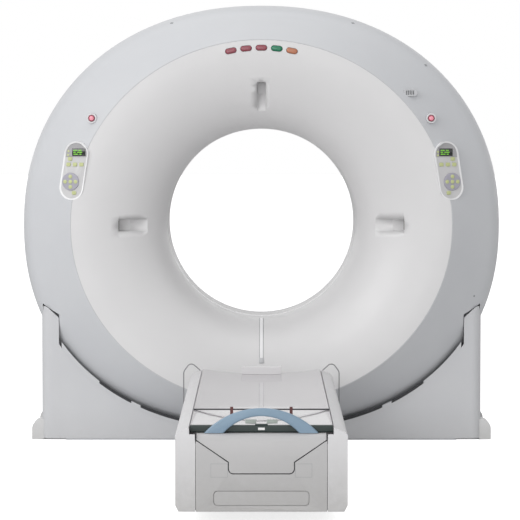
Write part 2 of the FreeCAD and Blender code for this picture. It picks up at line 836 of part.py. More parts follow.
# ---------------------------------------------------------------- tilt frame, bearing and rotor
def tilt_frame():
    """A ring plate with a rim, two trunnion pins and posts that carry the rear cover."""
    rear = mm["frame_plate_front"] + mm["frame_plate"]
    plate = tube_y(mm["race_outer"], mm["frame_radius"], mm["frame_plate_front"], rear)
    rim = tube_y(mm["frame_inner"], mm["frame_radius"], -mm["frame_rim_front"], rear)
    pieces = [rim]
    inner = mm["arm_inner"] - mm["arm_clearance"]
    half = mm["arm_half_depth"]
    for side in (-1, 1):
        low, high = sorted((side * (mm["frame_radius"] - mm["frame_rim_wall"] / 2), side * inner))
        pieces.append(box_at(low, high, -half, half, mm["iso_height"] - 90, mm["iso_height"] + 90))
        pin = Part.makeCylinder(mm["trunnion_radius"], mm["arm_clearance"] + mm["arm_thick"] + 10,
                                Vector(side * (inner - 5), mm["scan_y"], mm["iso_height"]), Vector(side, 0, 0))
        pieces.append(pin)
    inside = Part.makeCylinder(mm["frame_inner"], 600,
                               Vector(0, mm["scan_y"] - 300, mm["iso_height"]), Vector(0, 1, 0))
    ends = pieces[1:]
    whole = ends[0].fuse(ends[1:]).cut(inside).fuse([plate, rim])
    posts = []
    for degrees in (45, 135, 225, 315):
        angle = math.radians(degrees)
        foot = Vector(mm["post_circle"] * math.cos(angle), mm["scan_y"] + rear - 2,
                      mm["iso_height"] + mm["post_circle"] * math.sin(angle))
        posts.append(Part.makeCylinder(mm["post_radius"], mm["rear_depth"] - mm["cover_wall"] - rear + 2, foot,
                                       Vector(0, 1, 0)))
    return whole.fuse(posts).removeSplitter()


node("tilt_frame", feature("tilt_frame", tilt_frame()))
node("bearing_race", turned("bearing_race", [
    ("0", "race_inner"), ("race_depth", "race_inner"), ("race_depth", "race_outer"), ("0", "race_outer"),
], "frame_plate_front"))
node("drive_stator", turned("drive_stator", [
    ("0", "rotor_radius + stator_gap"), ("stator_depth", "rotor_radius + stator_gap"),
    ("stator_depth", "frame_inner"), ("0", "frame_inner"),
], "rotor_plate_front + rotor_plate / 2 - stator_depth / 2"))
node("rotor_drum", turned("rotor_drum", [
    ("0", "drum_inner"),
    ("drum_front + drum_rear", "drum_inner"),
    ("drum_front + drum_rear", "race_inner - shaft_gap"),
    ("drum_front + frame_plate_front - 10", "race_inner - shaft_gap"),
    ("drum_front + frame_plate_front - 10", "drum_outer"),
    ("drum_front + rotor_plate_front + rotor_plate", "drum_outer"),
    ("drum_front + rotor_plate_front + rotor_plate", "rotor_radius"),
    ("drum_front + rotor_plate_front", "rotor_radius"),
    ("drum_front + rotor_plate_front", "drum_outer"),
    ("0", "drum_outer"),
], "-drum_front"))
node("slip_ring", turned("slip_ring", [
    ("0", "drum_inner + 5"), ("slip_ring_depth", "drum_inner + 5"),
    ("slip_ring_depth", "race_inner - 10"), ("0", "race_inner - 10"),
], "drum_rear"))
node("xray_tube", rod("xray_tube", "y", "tube_radius", "tube_length", "0", "rotor_plate_front - tube_length",
                      "iso_height + tube_centre"))

drum_hole = rod("drum_hole", "y", "drum_outer + seat_gap", "2 * collimator_depth", "0", "-collimator_depth",
                "iso_height")
collimator_box = block("collimator_box", ("-collimator_width / 2", "collimator_width / 2"),
                       ("rotor_plate_front - collimator_depth", "rotor_plate_front"),
                       ("iso_height + drum_inner - 10", "iso_height + tube_centre - tube_radius - seat_gap"))
node("collimator", cut("collimator", collimator_box, drum_hole))


def detector_arc():
    """The curved detector box under the bore, opposite the tube."""
    half = mm["detector_half_angle"]
    ring = tube_y(mm["detector_inner"], mm["detector_outer"], mm["rotor_plate_front"] - mm["detector_depth"],
                  mm["rotor_plate_front"])
    reach = 2 * mm["detector_outer"]
    corners = [Vector(0, 0, 0), Vector(-reach * math.sin(math.radians(half)), 0, -reach * math.cos(math.radians(half))),
               Vector(reach * math.sin(math.radians(half)), 0, -reach * math.cos(math.radians(half)))]
    wedge = Part.Face(Part.makePolygon([*corners, corners[0]])).extrude(Vector(0, 2 * mm["detector_depth"], 0))
    wedge.translate(Vector(0, mm["scan_y"] - mm["detector_depth"], mm["iso_height"]))
    return ring.common(wedge)


node("detector_arc", feature("detector_arc", detector_arc()))
power_right = block("power_right", ("power_inner", "power_outer"), ("-drum_front", "rotor_plate_front"),
                    ("iso_height - power_half_height", "iso_height + power_half_height"))
power_left = block("power_left", ("-power_outer", "-power_inner"), ("-drum_front", "rotor_plate_front"),
                   ("iso_height - power_half_height", "iso_height + power_half_height"))
power_units = doc.addObject("Part::Compound", "power_units")
power_units.Links = [power_left, power_right]
node("power_units", power_units)


# ---------------------------------------------------------------- gantry base
def tilt_envelope():
    """The barrel about the tilt axis that the base covers are cut back to."""
    half = mm["cut_half_width"]
    points = []
    for step in range(-20, 21):
        x = 0.985 * half * step / 20
        radius = mm["cut_radius"] * (1 - abs(x / half) ** mm["cut_power"]) ** (1 / mm["cut_power"])
        points.append(Vector(x, mm["scan_y"], mm["iso_height"] - radius))
    curve = Part.BSplineCurve()
    curve.interpolate(points)
    ends = [Vector(points[-1].x, mm["scan_y"], mm["iso_height"]), Vector(points[0].x, mm["scan_y"], mm["iso_height"])]
    wire = Part.Wire([curve.toShape(), Part.makeLine(points[-1], ends[0]), Part.makeLine(ends[0], ends[1]),
                      Part.makeLine(ends[1], points[0])])
    return Part.Face(wire).revolve(Vector(0, mm["scan_y"], mm["iso_height"]), Vector(1, 0, 0), 360)


def base_cover(side):
    """One half of the base's skin: front and rear panels and a side wall, cut to the ring's sweep."""
    shells = []
    for wall in (0, mm["base_wall"]):
        width, depth = mm["base_half_width"] - wall, mm["base_half_depth"] - wall
        low, high = sorted((0, side * width))
        bottom = mm["base_floor_gap"] if wall == 0 else 0
        shell = box_at(low, high, -depth, depth, bottom, mm["base_height"] - wall)
        corner = [edge for edge in shell.Edges
                  if abs(edge.tangentAt(0).z) > 0.9 and abs(edge.BoundBox.XMin) > width / 2]
        shells.append(shell.makeFillet(mm["base_corner"] - wall, corner))
    return shells[0].cut([shells[1], tilt_envelope()])


node("base_cover_left", feature("base_cover_left", base_cover(-1)))
node("base_cover_right", feature("base_cover_right", base_cover(1)))

base_pieces = []
for side, word in ((-1, "left"), (1, "right")):
    inner, outer = f"{side} * rail_inner", f"{side} * (base_half_width - base_wall)"
    arm_near, arm_far = f"{side} * arm_inner", f"{side} * (arm_inner + arm_thick)"
    rail_pair = (inner, outer) if side > 0 else (outer, inner)
    arm_pair = (arm_near, arm_far) if side > 0 else (arm_far, arm_near)
    base_pieces.append(block(f"base_rail_{word}", rail_pair,
                             ("-base_half_depth + base_corner", "base_half_depth - base_corner"), ("0", "rail_tall")))
    base_pieces.append(block(f"stand_arm_{word}", arm_pair, ("-arm_half_depth", "arm_half_depth"),
                             ("rail_tall - 5", "iso_height + arm_above_iso")))
for sign, word in ((-1, "front"), (1, "rear")):
    outer, inner = f"{sign} * (base_half_depth - base_wall)", f"{sign} * (base_half_depth - base_wall - cross_depth)"
    pair = (inner, outer) if sign > 0 else (outer, inner)
    base_pieces.append(block(f"base_cross_{word}", ("-rail_inner - 20", "rail_inner + 20"), pair,
                             ("0", "cross_tall")))
trunnion_bore = rod("trunnion_bore", "x", "trunnion_radius + shaft_gap", "2 * base_half_width", "-base_half_width",
                    "0", "iso_height")
node("gantry_base_frame", cut("gantry_base_frame", fuse("base_weldment", *base_pieces), trunnion_bore))
node("tilt_drive", block("tilt_drive", ("-arm_inner - arm_thick", "-arm_inner"),
                         ("arm_half_depth", "arm_half_depth + 90"), ("rail_tall", "rail_tall + 200")))


def foot_cover(side, end):
    """A rounded cover over a floor anchor, on the outside of the base."""
    x_low, x_high = sorted((side * mm["base_half_width"], side * (mm["base_half_width"] + mm["foot_out"])))
    y_low, y_high = sorted((end * mm["foot_start"], end * (mm["foot_start"] + mm["foot_long"])))
    foot = box_at(x_low, x_high, y_low, y_high, 0, mm["foot_tall"])
    outer = side * (mm["base_half_width"] + mm["foot_out"])
    top = [edge for edge in foot.Edges if abs(edge.tangentAt(0).y) > 0.9
           and abs(edge.BoundBox.XMin - outer) < 1 and edge.BoundBox.ZMin > 1]
    return foot.makeFillet(mm["foot_round"], top)


feet = [foot_cover(side, end) for side in (-1, 1) for end in (-1, 1)]
node("foot_covers", feature("foot_covers", Part.makeCompound(feet)))
node("floor_duct", block("floor_duct", ("-duct_width / 2", "duct_width / 2"),
                         ("-couch_gap - plinth_far", "-base_half_depth + base_wall"), ("0", "duct_height - 5")))


# ---------------------------------------------------------------- couch: stationary pieces
near = "-couch_gap - couch_length"
plinth_far = "-couch_gap - plinth_far"
plinth_near = "-couch_gap - couch_length + plinth_setback"
pivots = {"front": "-pivot_front", "rear": "-pivot_front - pivot_spread"}
rise = "lift_arm_length * sin(lift_arm_start * 1 deg)"
run = "lift_arm_length * cos(lift_arm_start * 1 deg)"

plinth = block("plinth", ("-plinth_half_width", "plinth_half_width"), (plinth_near, plinth_far),
               ("0", "plinth_thick"))
stand_lugs = [plinth]
lug_bores = []
for word, pivot in pivots.items():
    for side in (-1, 1):
        pair = (f"{side} * lug_offset", f"{side} * (lug_offset + lug_thick)")
        stand_lugs.append(block(f"base_lug_{word}_{side + 1}", pair if side > 0 else pair[::-1],
                                (f"{pivot} - lug_half_width", f"{pivot} + lug_half_width"),
                                ("plinth_thick - 2", "pivot_height + lug_half_width / 1.3")))
    lug_bores.append(rod(f"base_lug_bore_{word}", "x", "axle_radius + shaft_gap", "4 * lug_offset",
                         "-2 * lug_offset", pivot, "pivot_height"))
for y in ("0.12", "0.9"):
    for side in (-1, 1):
        pair = (f"{side} * (plinth_half_width - 30)", f"{side} * plinth_half_width")
        at = f"-couch_gap - couch_length + plinth_setback + {y} * (couch_length - plinth_setback)"
        stand_lugs.append(block(f"cover_bracket_{y[-1]}_{side + 1}", pair if side > 0 else pair[::-1],
                                (at, f"{at} + 40"), ("plinth_thick - 2", "skirt_bottom + 60")))
node("couch_base_frame", cut("couch_base_frame", fuse("couch_weldment", *stand_lugs), *lug_bores))
node("lift_drive", rod("lift_drive", "y", "drive_radius", "drive_length", "0", "-pivot_front - 450",
                       "plinth_thick + drive_radius"))


def end_outline(gap):
    """Half of the seam between the upper and lower end covers, from the side to the middle."""
    return [Vector(mm["lower_half_width"] - 1, 0, mm["shoulder_height"] - gap),
            Vector(mm["tongue_half_width"] + gap, 0, mm["tongue_knee"] - gap),
            Vector(mm["tongue_half_width"] + gap, 0, mm["tongue_bottom"] - gap)]


def seam_prism(depth, top, gap):
    """Everything above the seam, as a prism with the tongue's outline; gap opens the seam."""
    half = end_outline(gap)
    right = [Vector(mm["lower_half_width"] - 1, 0, top), *half]
    left = [Vector(-point.x, 0, point.z) for point in reversed(right)]
    face = Part.Face(Part.makePolygon([*right, *left, right[0]]))
    prism = face.extrude(Vector(0, depth, 0))
    lower = [edge for edge in prism.Edges if abs(edge.tangentAt(0).y) > 0.9
             and abs(edge.BoundBox.ZMin - (mm["tongue_bottom"] - gap)) < 1]
    return prism.makeFillet(18 + gap, lower)


def lower_cover():
    """The stationary tub round the lift, notched for the upper cover's tongue."""
    y_near = -mm["couch_gap"] - mm["couch_length"]
    y_far = -mm["couch_gap"] - mm["plinth_far"] / 2
    wall = mm["couch_wall"]
    half = mm["lower_half_width"]
    outer = box_at(-half, half, y_near, y_far, mm["skirt_bottom"], mm["lower_top"])
    inner = box_at(-half + wall, half - wall, y_near + wall, y_far - wall, 0, mm["base_height"])
    pad = box_at(-mm["recess_half_width"] - wall, mm["recess_half_width"] + wall, y_near, y_near + 2 * wall,
                 mm["recess_bottom"] - wall, mm["recess_bottom"] + mm["recess_height"] + wall)
    recess = box_at(-mm["recess_half_width"], mm["recess_half_width"], y_near - 1, y_near + mm["recess_depth"],
                    mm["recess_bottom"], mm["recess_bottom"] + mm["recess_height"])
    edges = [edge for edge in recess.Edges if abs(edge.tangentAt(0).y) > 0.9]
    recess = recess.makeFillet(15, edges)
    notch = seam_prism(2 * wall + 40, mm["base_height"], mm["tongue_seam"])
    notch.translate(Vector(0, mm["scan_y"] + y_near - 5, 0))
    shell = outer.cut(inner).fuse(pad).cut([recess, notch])
    return shell.removeSplitter()


node("couch_lower_cover", feature("couch_lower_cover", lower_cover()))


# ---------------------------------------------------------------- couch: lift arms
def lift_arm(label, pivot):
    """Two bars on two axles: the lower axle turns in the base, the upper one in the upper frame."""
    angle = math.radians(mm["lift_arm_start"])
    low = Vector(0, mm["scan_y"] + pivot, mm["pivot_height"])
    high = low + Vector(0, -mm["lift_arm_length"] * math.cos(angle), mm["lift_arm_length"] * math.sin(angle))
    half = mm["lift_arm_half_height"]
    pieces = []
    for side in (-1, 1):
        x = mm["lift_arm_offset"] if side > 0 else -mm["lift_arm_offset"] - mm["lift_arm_thick"]
        bar = stadium(2 * half, mm["lift_arm_length"] + 2 * half, mm["lift_arm_thick"])
        bar.rotate(Vector(), Vector(0, 0, 1), -90)
        bar.rotate(Vector(), Vector(1, 0, 0), 90 - mm["lift_arm_start"])
        bar.translate(Vector(x, (low.y + high.y) / 2, (low.z + high.z) / 2))
        pieces.append(bar)
    for end in (low, high):
        pieces.append(Part.makeCylinder(mm["axle_radius"], 2 * mm["axle_half_length"],
                                        end - Vector(mm["axle_half_length"], 0, 0), Vector(1, 0, 0)))
    return node(label, feature(label, pieces[0].fuse(pieces[1:]).removeSplitter()))


lift_arm("lift_arm_front", -mm["pivot_front"])
lift_arm("lift_arm_rear", -mm["pivot_front"] - mm["pivot_spread"])

# ---------------------------------------------------------------- couch: upper frame and covers
upper = []
upper_bores = []
for side in (-1, 1):
    pair = (f"{side} * beam_offset", f"{side} * (beam_offset + beam_thick)")
    upper.append(block(f"upper_beam_{side + 1}", pair if side > 0 else pair[::-1],
                       (f"{near} + 50", f"{plinth_far} - 20"), ("frame_low", "frame_top")))
for word, pivot in pivots.items():
    top_pivot = f"{pivot} - {run}"
    for side in (-1, 1):
        pair = (f"{side} * lug_offset", f"{side} * (beam_offset + 5)")
        upper.append(block(f"upper_lug_{word}_{side + 1}", pair if side > 0 else pair[::-1],
                           (f"{top_pivot} - lug_half_width", f"{top_pivot} + lug_half_width"),
                           (f"pivot_height + {rise} - lug_half_width / 1.3", "frame_top")))
    upper_bores.append(rod(f"upper_lug_bore_{word}", "x", "axle_radius + shaft_gap", "2 * axle_half_length + 4",
                           "-axle_half_length - 2", top_pivot, f"pivot_height + {rise}"))
for index, share in enumerate(("0.04", "0.35", "0.66", "0.93")):
    at = f"{near} + {share} * couch_length"
    upper.append(block(f"cross_plate_{index}", ("-couch_half_width + couch_wall", "couch_half_width - couch_wall"),
                       (at, f"{at} + cross_plate_depth"), ("frame_top", "frame_top + cross_plate")))
upper.append(block("end_bracket", ("-100", "100"), (f"{near} + couch_wall", f"{near} + 0.04 * couch_length"),
                   ("frame_top - cross_plate - 2", "frame_top - 2")))
upper.append(block("end_bracket_web", ("-100", "100"), (f"{near} + 0.04 * couch_length", f"{near} + 0.07 * couch_length"),
                   ("frame_low + 40", "frame_top")))
node("couch_upper_frame", cut("couch_upper_frame", fuse("upper_weldment", *upper), *upper_bores))
slides = doc.addObject("Part::Compound", "slide_rails")
slides.Links = [
    block(f"slide_{side + 1}",
          (f"{side} * slide_offset", f"{side} * (slide_offset + slide_width)")[::side],
          (f"{near} + 0.04 * couch_length", f"{plinth_far} - 20"),
          ("frame_top + cross_plate", "table_bottom - seat_gap"))
    for side in (-1, 1)]
node("slide_rails", slides)

skirt_outline = [
    ("couch_half_width", "skirt_bottom + skirt_round * 2"),
    ("couch_half_width", "skirt_shoulder"),
    ("couch_half_width - skirt_round", "skirt_top"),
    ("lip_inner + 2", "lip_height"),
    ("lip_inner", "lip_height - 4"),
    ("lip_inner", "lip_height - 32"),
    ("lip_inner + couch_wall", "lip_height - 32"),
    ("lip_inner + couch_wall", "lip_height - 7"),
    ("couch_half_width - skirt_round - couch_wall", "skirt_top - 5"),
    ("couch_half_width - couch_wall", "skirt_shoulder - 4"),
    ("couch_half_width - couch_wall", "skirt_bottom + skirt_round * 2"),
    ("couch_half_width - skirt_round - couch_wall", "skirt_bottom"),
    ("couch_half_width - skirt_round", "skirt_bottom"),
]
end_plate_side = [
    ("skirt_end_inner", "skirt_bottom"),
    ("couch_half_width - skirt_round - 2", "skirt_bottom"),
    ("couch_half_width - 2", "skirt_bottom + skirt_round * 2"),
    ("couch_half_width - 2", "skirt_shoulder"),
    ("couch_half_width - skirt_round - 2", "skirt_top"),
]
near_plate = [*end_plate_side, ("lip_inner + 2", "lip_height - 2"), ("lip_inner + 1", "end_cover_top"),
              ("skirt_end_inner", "end_cover_top")]
far_plate = [*end_plate_side, ("lip_inner + 2", "lip_height - 2"), ("lip_inner + 1", "table_bottom - 2"),
             ("skirt_end_inner", "table_bottom - 2")]
skirt_wall = padded("skirt_wall", "XZ_Plane", skirt_outline, "couch_length", "0", near, "0", reverse=True)
skirt_near = padded("skirt_near", "XZ_Plane", near_plate, "couch_wall", "0", near, "0", reverse=True)
skirt_far = padded("skirt_far", "XZ_Plane", far_plate, "couch_wall", "0", "-couch_gap - couch_wall", "0",
                   reverse=True)
side_right = node("couch_side_cover_right", fuse("couch_side_cover_right", skirt_wall, skirt_near, skirt_far))
node("couch_side_cover_left", mirrored("couch_side_cover_left", side_right))


def end_cover():
    """The upper end cover: a plate with a tongue, and a top with a rounded front edge."""
    y_near = -mm["couch_gap"] - mm["couch_length"]
    wall = mm["couch_wall"]
    half = mm["lower_half_width"] - 1
    block_shape = box_at(-half, half, y_near, y_near + mm["end_cover_back"], mm["shoulder_height"] - 60,
                         mm["end_cover_top"])
    hollow = box_at(-half - 1, half + 1, y_near + wall, y_near + mm["end_cover_back"] + 1,
                    mm["shoulder_height"] - 60 - wall, mm["end_cover_top"] - wall)
    front_top = [edge for edge in block_shape.Edges if abs(edge.tangentAt(0).x) > 0.9
                 and edge.BoundBox.YMax < mm["scan_y"] + y_near + 1 and edge.BoundBox.ZMin > mm["end_cover_top"] - 1]
    hollow_top = [edge for edge in hollow.Edges if abs(edge.tangentAt(0).x) > 0.9
                  and edge.BoundBox.YMax < mm["scan_y"] + y_near + wall + 1
                  and edge.BoundBox.ZMin > mm["end_cover_top"] - wall - 1]
    crown = block_shape.makeFillet(mm["end_round"], front_top).cut(hollow.makeFillet(mm["end_round"] - wall, hollow_top))
    tongue = box_at(-half, half, y_near, y_near + wall, mm["tongue_bottom"] - 5, mm["end_cover_top"] - mm["end_round"])
    prism = seam_prism(mm["end_cover_back"] + 10, mm["base_height"], 0)
    prism.translate(Vector(0, mm["scan_y"] + y_near - 5, 0))
    return crown.fuse(tongue).common(prism).removeSplitter()


node("couch_end_cover", feature("couch_end_cover", end_cover()))


# ---------------------------------------------------------------- couch: table and what rides on it
table_half = "table_half_width"
table_block = block("table_block", (f"-{table_half}", table_half), ("-table_near", "-couch_gap"),
                    ("table_bottom", "table_height"))
dip_radius = "((table_half_width - 12) * (table_half_width - 12) + table_dip * table_dip) / (2 * table_dip)"
table_hollow = rod("table_hollow", "y", dip_radius, "table_near - couch_gap + 2", "0", "-table_near - 1",
                   f"table_height - table_dip + {dip_radius}")
node("tabletop", cut("tabletop", table_block, table_hollow))


def end_beam():
    beam = box_at(-mm["table_half_width"], mm["table_half_width"], -mm["table_near"] - mm["beam_depth"],
                  -mm["table_near"], mm["beam_bottom"], mm["table_height"])
    front = [edge for edge in beam.Edges if abs(edge.tangentAt(0).x) > 0.9
             and edge.BoundBox.YMax < mm["scan_y"] - mm["table_near"] - 1]
    return beam.makeFillet(4, front)


def arc_height(half_width, rise):
    """The radius of an arc over a chord."""
    return (half_width ** 2 + rise ** 2) / (2 * rise)


def pull_handle():
    """A flat arch whose band widens towards its feet."""
    foot, top = mm["handle_foot_height"], mm["handle_top"]
    outer, inner = mm["handle_half_width"], mm["handle_half_width"] - mm["handle_foot"]
    inner_top = top - mm["handle_band"]
    edges = [Part.Arc(Vector(-outer, 0, foot), Vector(0, 0, top), Vector(outer, 0, foot)).toShape(),
             Part.makeLine(Vector(outer, 0, foot), Vector(inner, 0, foot)),
             Part.Arc(Vector(inner, 0, foot), Vector(0, 0, inner_top), Vector(-inner, 0, foot)).toShape(),
             Part.makeLine(Vector(-inner, 0, foot), Vector(-outer, 0, foot))]
    arch = Part.Face(Part.Wire(edges)).extrude(Vector(0, mm["handle_depth"], 0))
    arch.translate(Vector(0, mm["scan_y"] - mm["table_near"] - mm["beam_depth"] - mm["handle_depth"], 0))
    long_edges = [edge for edge in arch.Edges if edge.Curve.TypeId == "Part::GeomCircle"]
    return arch.makeFillet(6, long_edges)


node("table_end_beam", feature("table_end_beam", end_beam()))
node("pull_handle", feature("pull_handle", pull_handle()))


def cross_rod():
    """The rod across the table with its two clips."""
    y = mm["scan_y"] - mm["rod_distance"]
    z = mm["table_height"] + mm["rod_radius"]
    half = mm["table_half_width"] - 1
    rod_shape = Part.makeCylinder(mm["rod_radius"], 2 * half, Vector(-half, y, z), Vector(1, 0, 0))
    chord = mm["table_half_width"] - 12
    dip = arc_height(chord, mm["table_dip"])
    clips = []
    for side in (-1, 1):
        x = side * mm["clip_offset"]
        low = mm["table_height"] - mm["table_dip"] + dip - math.sqrt(dip ** 2 - (abs(x) - mm["clip_radius"]) ** 2)
        high = z + mm["clip_rise"]
        sunk = mm["table_height"] - mm["table_dip"] + dip - math.sqrt(dip ** 2 - (abs(x) + mm["clip_radius"]) ** 2)
        clips.append(Part.makeBox(2 * mm["clip_radius"], 2 * mm["clip_radius"], high - sunk,
                                  Vector(x - mm["clip_radius"], y - mm["clip_radius"], sunk)))
    return rod_shape.fuse(clips)


node("cross_rod", feature("cross_rod", cross_rod()))
socket_block = block("socket_block", ("-socket_half_width", "socket_half_width"),
                     ("-couch_gap - socket_long", "-couch_gap"), ("table_height - table_dip - 2", "table_height + socket_rise"))
socket_slot = block("socket_slot", ("-socket_half_width + 20", "socket_half_width - 20"),
                    ("-couch_gap - socket_long + 15", "-couch_gap + 1"), ("table_height - 3", "table_height + 8"))
socket_keep = rod("socket_keep", "y", dip_radius, "socket_long + 20", "0", "-couch_gap - socket_long - 10",
                  f"table_height - table_dip + {dip_radius}")
socket_common = doc.addObject("Part::MultiCommon", "socket_common")
socket_common.Shapes = [socket_block, socket_keep]
node("head_holder_socket", cut("head_holder_socket", socket_common, socket_slot))


# ---------------------------------------------------------------- guard wires at the couch's far end
def rounded_path(points, radii):
    """Straight runs joined by tangent arcs."""
    edges = []
    start = points[0]
    for before, corner, after, radius in zip(points, points[1:], points[2:], radii):
        come, leave = (before - corner).normalize(), (after - corner).normalize()
        turn = come.getAngle(leave)
        reach = radius / math.tan(turn / 2)
        first, last = corner + come * reach, corner + leave * reach
        bisector = (come + leave).normalize()
        middle = corner + bisector * (radius / math.sin(turn / 2) - radius)
        edges.append(Part.makeLine(start, first))
        edges.append(Part.Arc(first, middle, last).toShape())
        start = last
    edges.append(Part.makeLine(start, points[-1]))
    return Part.Wire(edges)


def guard_wire(side):
    """A bent wire from the cover's side, up past the tabletop and in to its corner."""
    y = mm["scan_y"] - mm["couch_gap"] - 8
    wall, out = mm["couch_half_width"], mm["couch_half_width"] + mm["wire_out"]
    bend = mm["wire_bend"]
    points = [Vector(side * wall, y, mm["wire_foot"]), Vector(side * out, y, mm["wire_foot"]),
              Vector(side * out, y, mm["table_height"] - 10), Vector(side * wall, y, mm["wire_peak"]),
              Vector(side * (mm["lip_inner"] + 8), y, mm["lip_height"] - 1)]
    path = rounded_path(points, [bend * 0.7, bend, bend * 0.7])
    ring = Part.Wire([Part.makeCircle(mm["wire_radius"], points[0], Vector(side, 0, 0))])
    return path.makePipeShell([ring], True, False)


wires = Part.makeCompound([guard_wire(-1), guard_wire(1)])
node("guard_wires", feature("guard_wires", wires))

# ---------------------------------------------------------------- check everything, then write
doc.recompute()
problems = []
for item in doc.Objects:
    if any(word in ("Invalid", "Error") for word in item.State):
        problems.append(f"{item.Label}: {item.State}")
for item in nodes:
    if item.Shape.isNull() or not item.Shape.isValid():
        problems.append(f"{item.Label}: shape is not valid")
    elif not item.Shape.Solids:
        problems.append(f"{item.Label}: no solid")
if problems:
    raise SystemExit("\n".join(problems))

for item in nodes:
    item.Shape.exportStep(f"parts/{item.Label}.step")
    print(f"{item.Label}: {len(item.Shape.Solids)} solid(s), {item.Shape.Volume / 1e6:.3f} litres")
print(len(nodes), "nodes")
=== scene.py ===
import json
import math
import bmesh
import bpy
from mathutils import Matrix, Vector
from mathutils.bvhtree import BVHTree

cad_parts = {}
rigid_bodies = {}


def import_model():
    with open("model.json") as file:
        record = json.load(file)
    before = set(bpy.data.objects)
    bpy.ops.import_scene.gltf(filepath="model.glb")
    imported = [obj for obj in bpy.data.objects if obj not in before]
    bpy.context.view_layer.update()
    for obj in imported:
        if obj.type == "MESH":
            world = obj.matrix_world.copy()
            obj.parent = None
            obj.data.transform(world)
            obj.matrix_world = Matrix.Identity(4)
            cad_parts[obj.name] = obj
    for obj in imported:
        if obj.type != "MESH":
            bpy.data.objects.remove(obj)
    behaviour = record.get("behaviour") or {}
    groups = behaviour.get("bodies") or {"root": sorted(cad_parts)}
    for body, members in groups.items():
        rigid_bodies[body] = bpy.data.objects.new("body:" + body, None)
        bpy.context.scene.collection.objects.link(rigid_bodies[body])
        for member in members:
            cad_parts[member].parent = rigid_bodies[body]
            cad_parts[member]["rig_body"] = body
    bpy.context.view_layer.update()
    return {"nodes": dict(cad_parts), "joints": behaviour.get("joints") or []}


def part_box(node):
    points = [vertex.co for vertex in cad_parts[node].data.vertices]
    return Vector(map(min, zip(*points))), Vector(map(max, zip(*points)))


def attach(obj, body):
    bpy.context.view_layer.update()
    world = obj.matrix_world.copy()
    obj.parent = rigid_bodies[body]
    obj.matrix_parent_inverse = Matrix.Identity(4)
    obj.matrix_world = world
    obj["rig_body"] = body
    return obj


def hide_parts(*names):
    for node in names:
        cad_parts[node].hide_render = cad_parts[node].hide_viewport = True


ops = bmesh.ops
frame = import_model()
nodes = frame["nodes"]
weld = 0.00001  # points nearer than this are one
bandLow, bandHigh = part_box("scan_window_band")
scanY = (bandLow.y + bandHigh.y) / 2  # the scan plane
isoZ = (bandLow.z + bandHigh.z) / 2  # the height of the bore's middle
sides = ((-1, "left"), (1, "right"))
print("frame loaded:", len(nodes), "nodes")


# the effects that the finishes share are node groups with named inputs
def newGroup(name, inputs, outputs):
    # inputs give each socket's first value: a number, a stretch of three or a colour of four
    group = bpy.data.node_groups.new(name, "ShaderNodeTree")
    for label, value in inputs.items():
        kind = "Float" if isinstance(value, float) else "Color" if len(value) == 4 else "Vector"
        socket = group.interface.new_socket(label, in_out="INPUT", socket_type=f"NodeSocket{kind}")
        socket.default_value = value
    for label in outputs:
        kind = "Color" if label == "Colour" else "Float"
        group.interface.new_socket(label, in_out="OUTPUT", socket_type=f"NodeSocket{kind}")
    return group, group.nodes.new("NodeGroupInput").outputs, group.nodes.new("NodeGroupOutput")


def socketLabel(key):
    # coatWeight stands for the socket Coat Weight
    spaced = "".join(f" {letter}" if letter.isupper() else letter for letter in key[1:])
    return key if " " in key else key[0].upper() + spaced


def addNode(tree, kind, links=(), **settings):
    made = tree.nodes.new("ShaderNode" + kind)
    for key, value in settings.items():
        if socketLabel(key) in made.inputs:
            made.inputs[socketLabel(key)].default_value = value
        else:
            setattr(made, key, value)
    for socket, source in links:
        tree.links.new(source, made.inputs[socket])
    return made


def noiseNode(tree, coordinates, scale, detail=3.0, roughness=0.55):
    return addNode(tree, "TexNoise", [("Vector", coordinates)], scale=scale, detail=detail,
                   roughness=roughness).outputs["Fac"]


def objectPlace(tree):
    return addNode(tree, "TexCoord").outputs["Object"]


def rangeNode(tree, value, low, high, toLow, toHigh):
    made = addNode(tree, "MapRange", [("Value", value)])
    for label, number in (("From Min", low), ("From Max", high), ("To Min", toLow), ("To Max", toHigh)):
        if isinstance(number, (int, float)):
            made.inputs[label].default_value = number
        else:
            tree.links.new(number, made.inputs[label])
    return made.outputs["Result"]


def mixColour(tree, share, first, second):
    made = addNode(tree, "Mix", data_type="RGBA")
    for index, source in ((0, share), (6, first), (7, second)):
        tree.links.new(source, made.inputs[index])
    return made.outputs[2]


def closeGroup(group, end, **results):
    for label, result in results.items():
        group.links.new(result, end.inputs[socketLabel(label)])
    return group


def buildMouldedGrain():
    group, given, end = newGroup("mouldedGrain", {
        "Colour": (0.8, 0.8, 0.8, 1), "Shade": (0.7, 0.7, 0.7, 1), "Grain": 900.0,
        "Low Roughness": 0.3, "High Roughness": 0.45}, ("Colour", "Roughness", "Height"))
    place = objectPlace(group)
    clouds = rangeNode(group, noiseNode(group, place, 2.3, 4.0), 0.35, 0.75, 0.0, 1.0)
    smears = noiseNode(group, place, 11.0, 5.0)
    sheen = rangeNode(group, smears, 0.3, 0.7, given["Low Roughness"], given["High Roughness"])
    grain = addNode(group, "TexNoise", [("Vector", place), ("Scale", given["Grain"])], detail=2.0)
    paint = mixColour(group, clouds, given["Colour"], given["Shade"])
    return closeGroup(group, end, colour=paint, roughness=sheen, height=grain.outputs["Fac"])


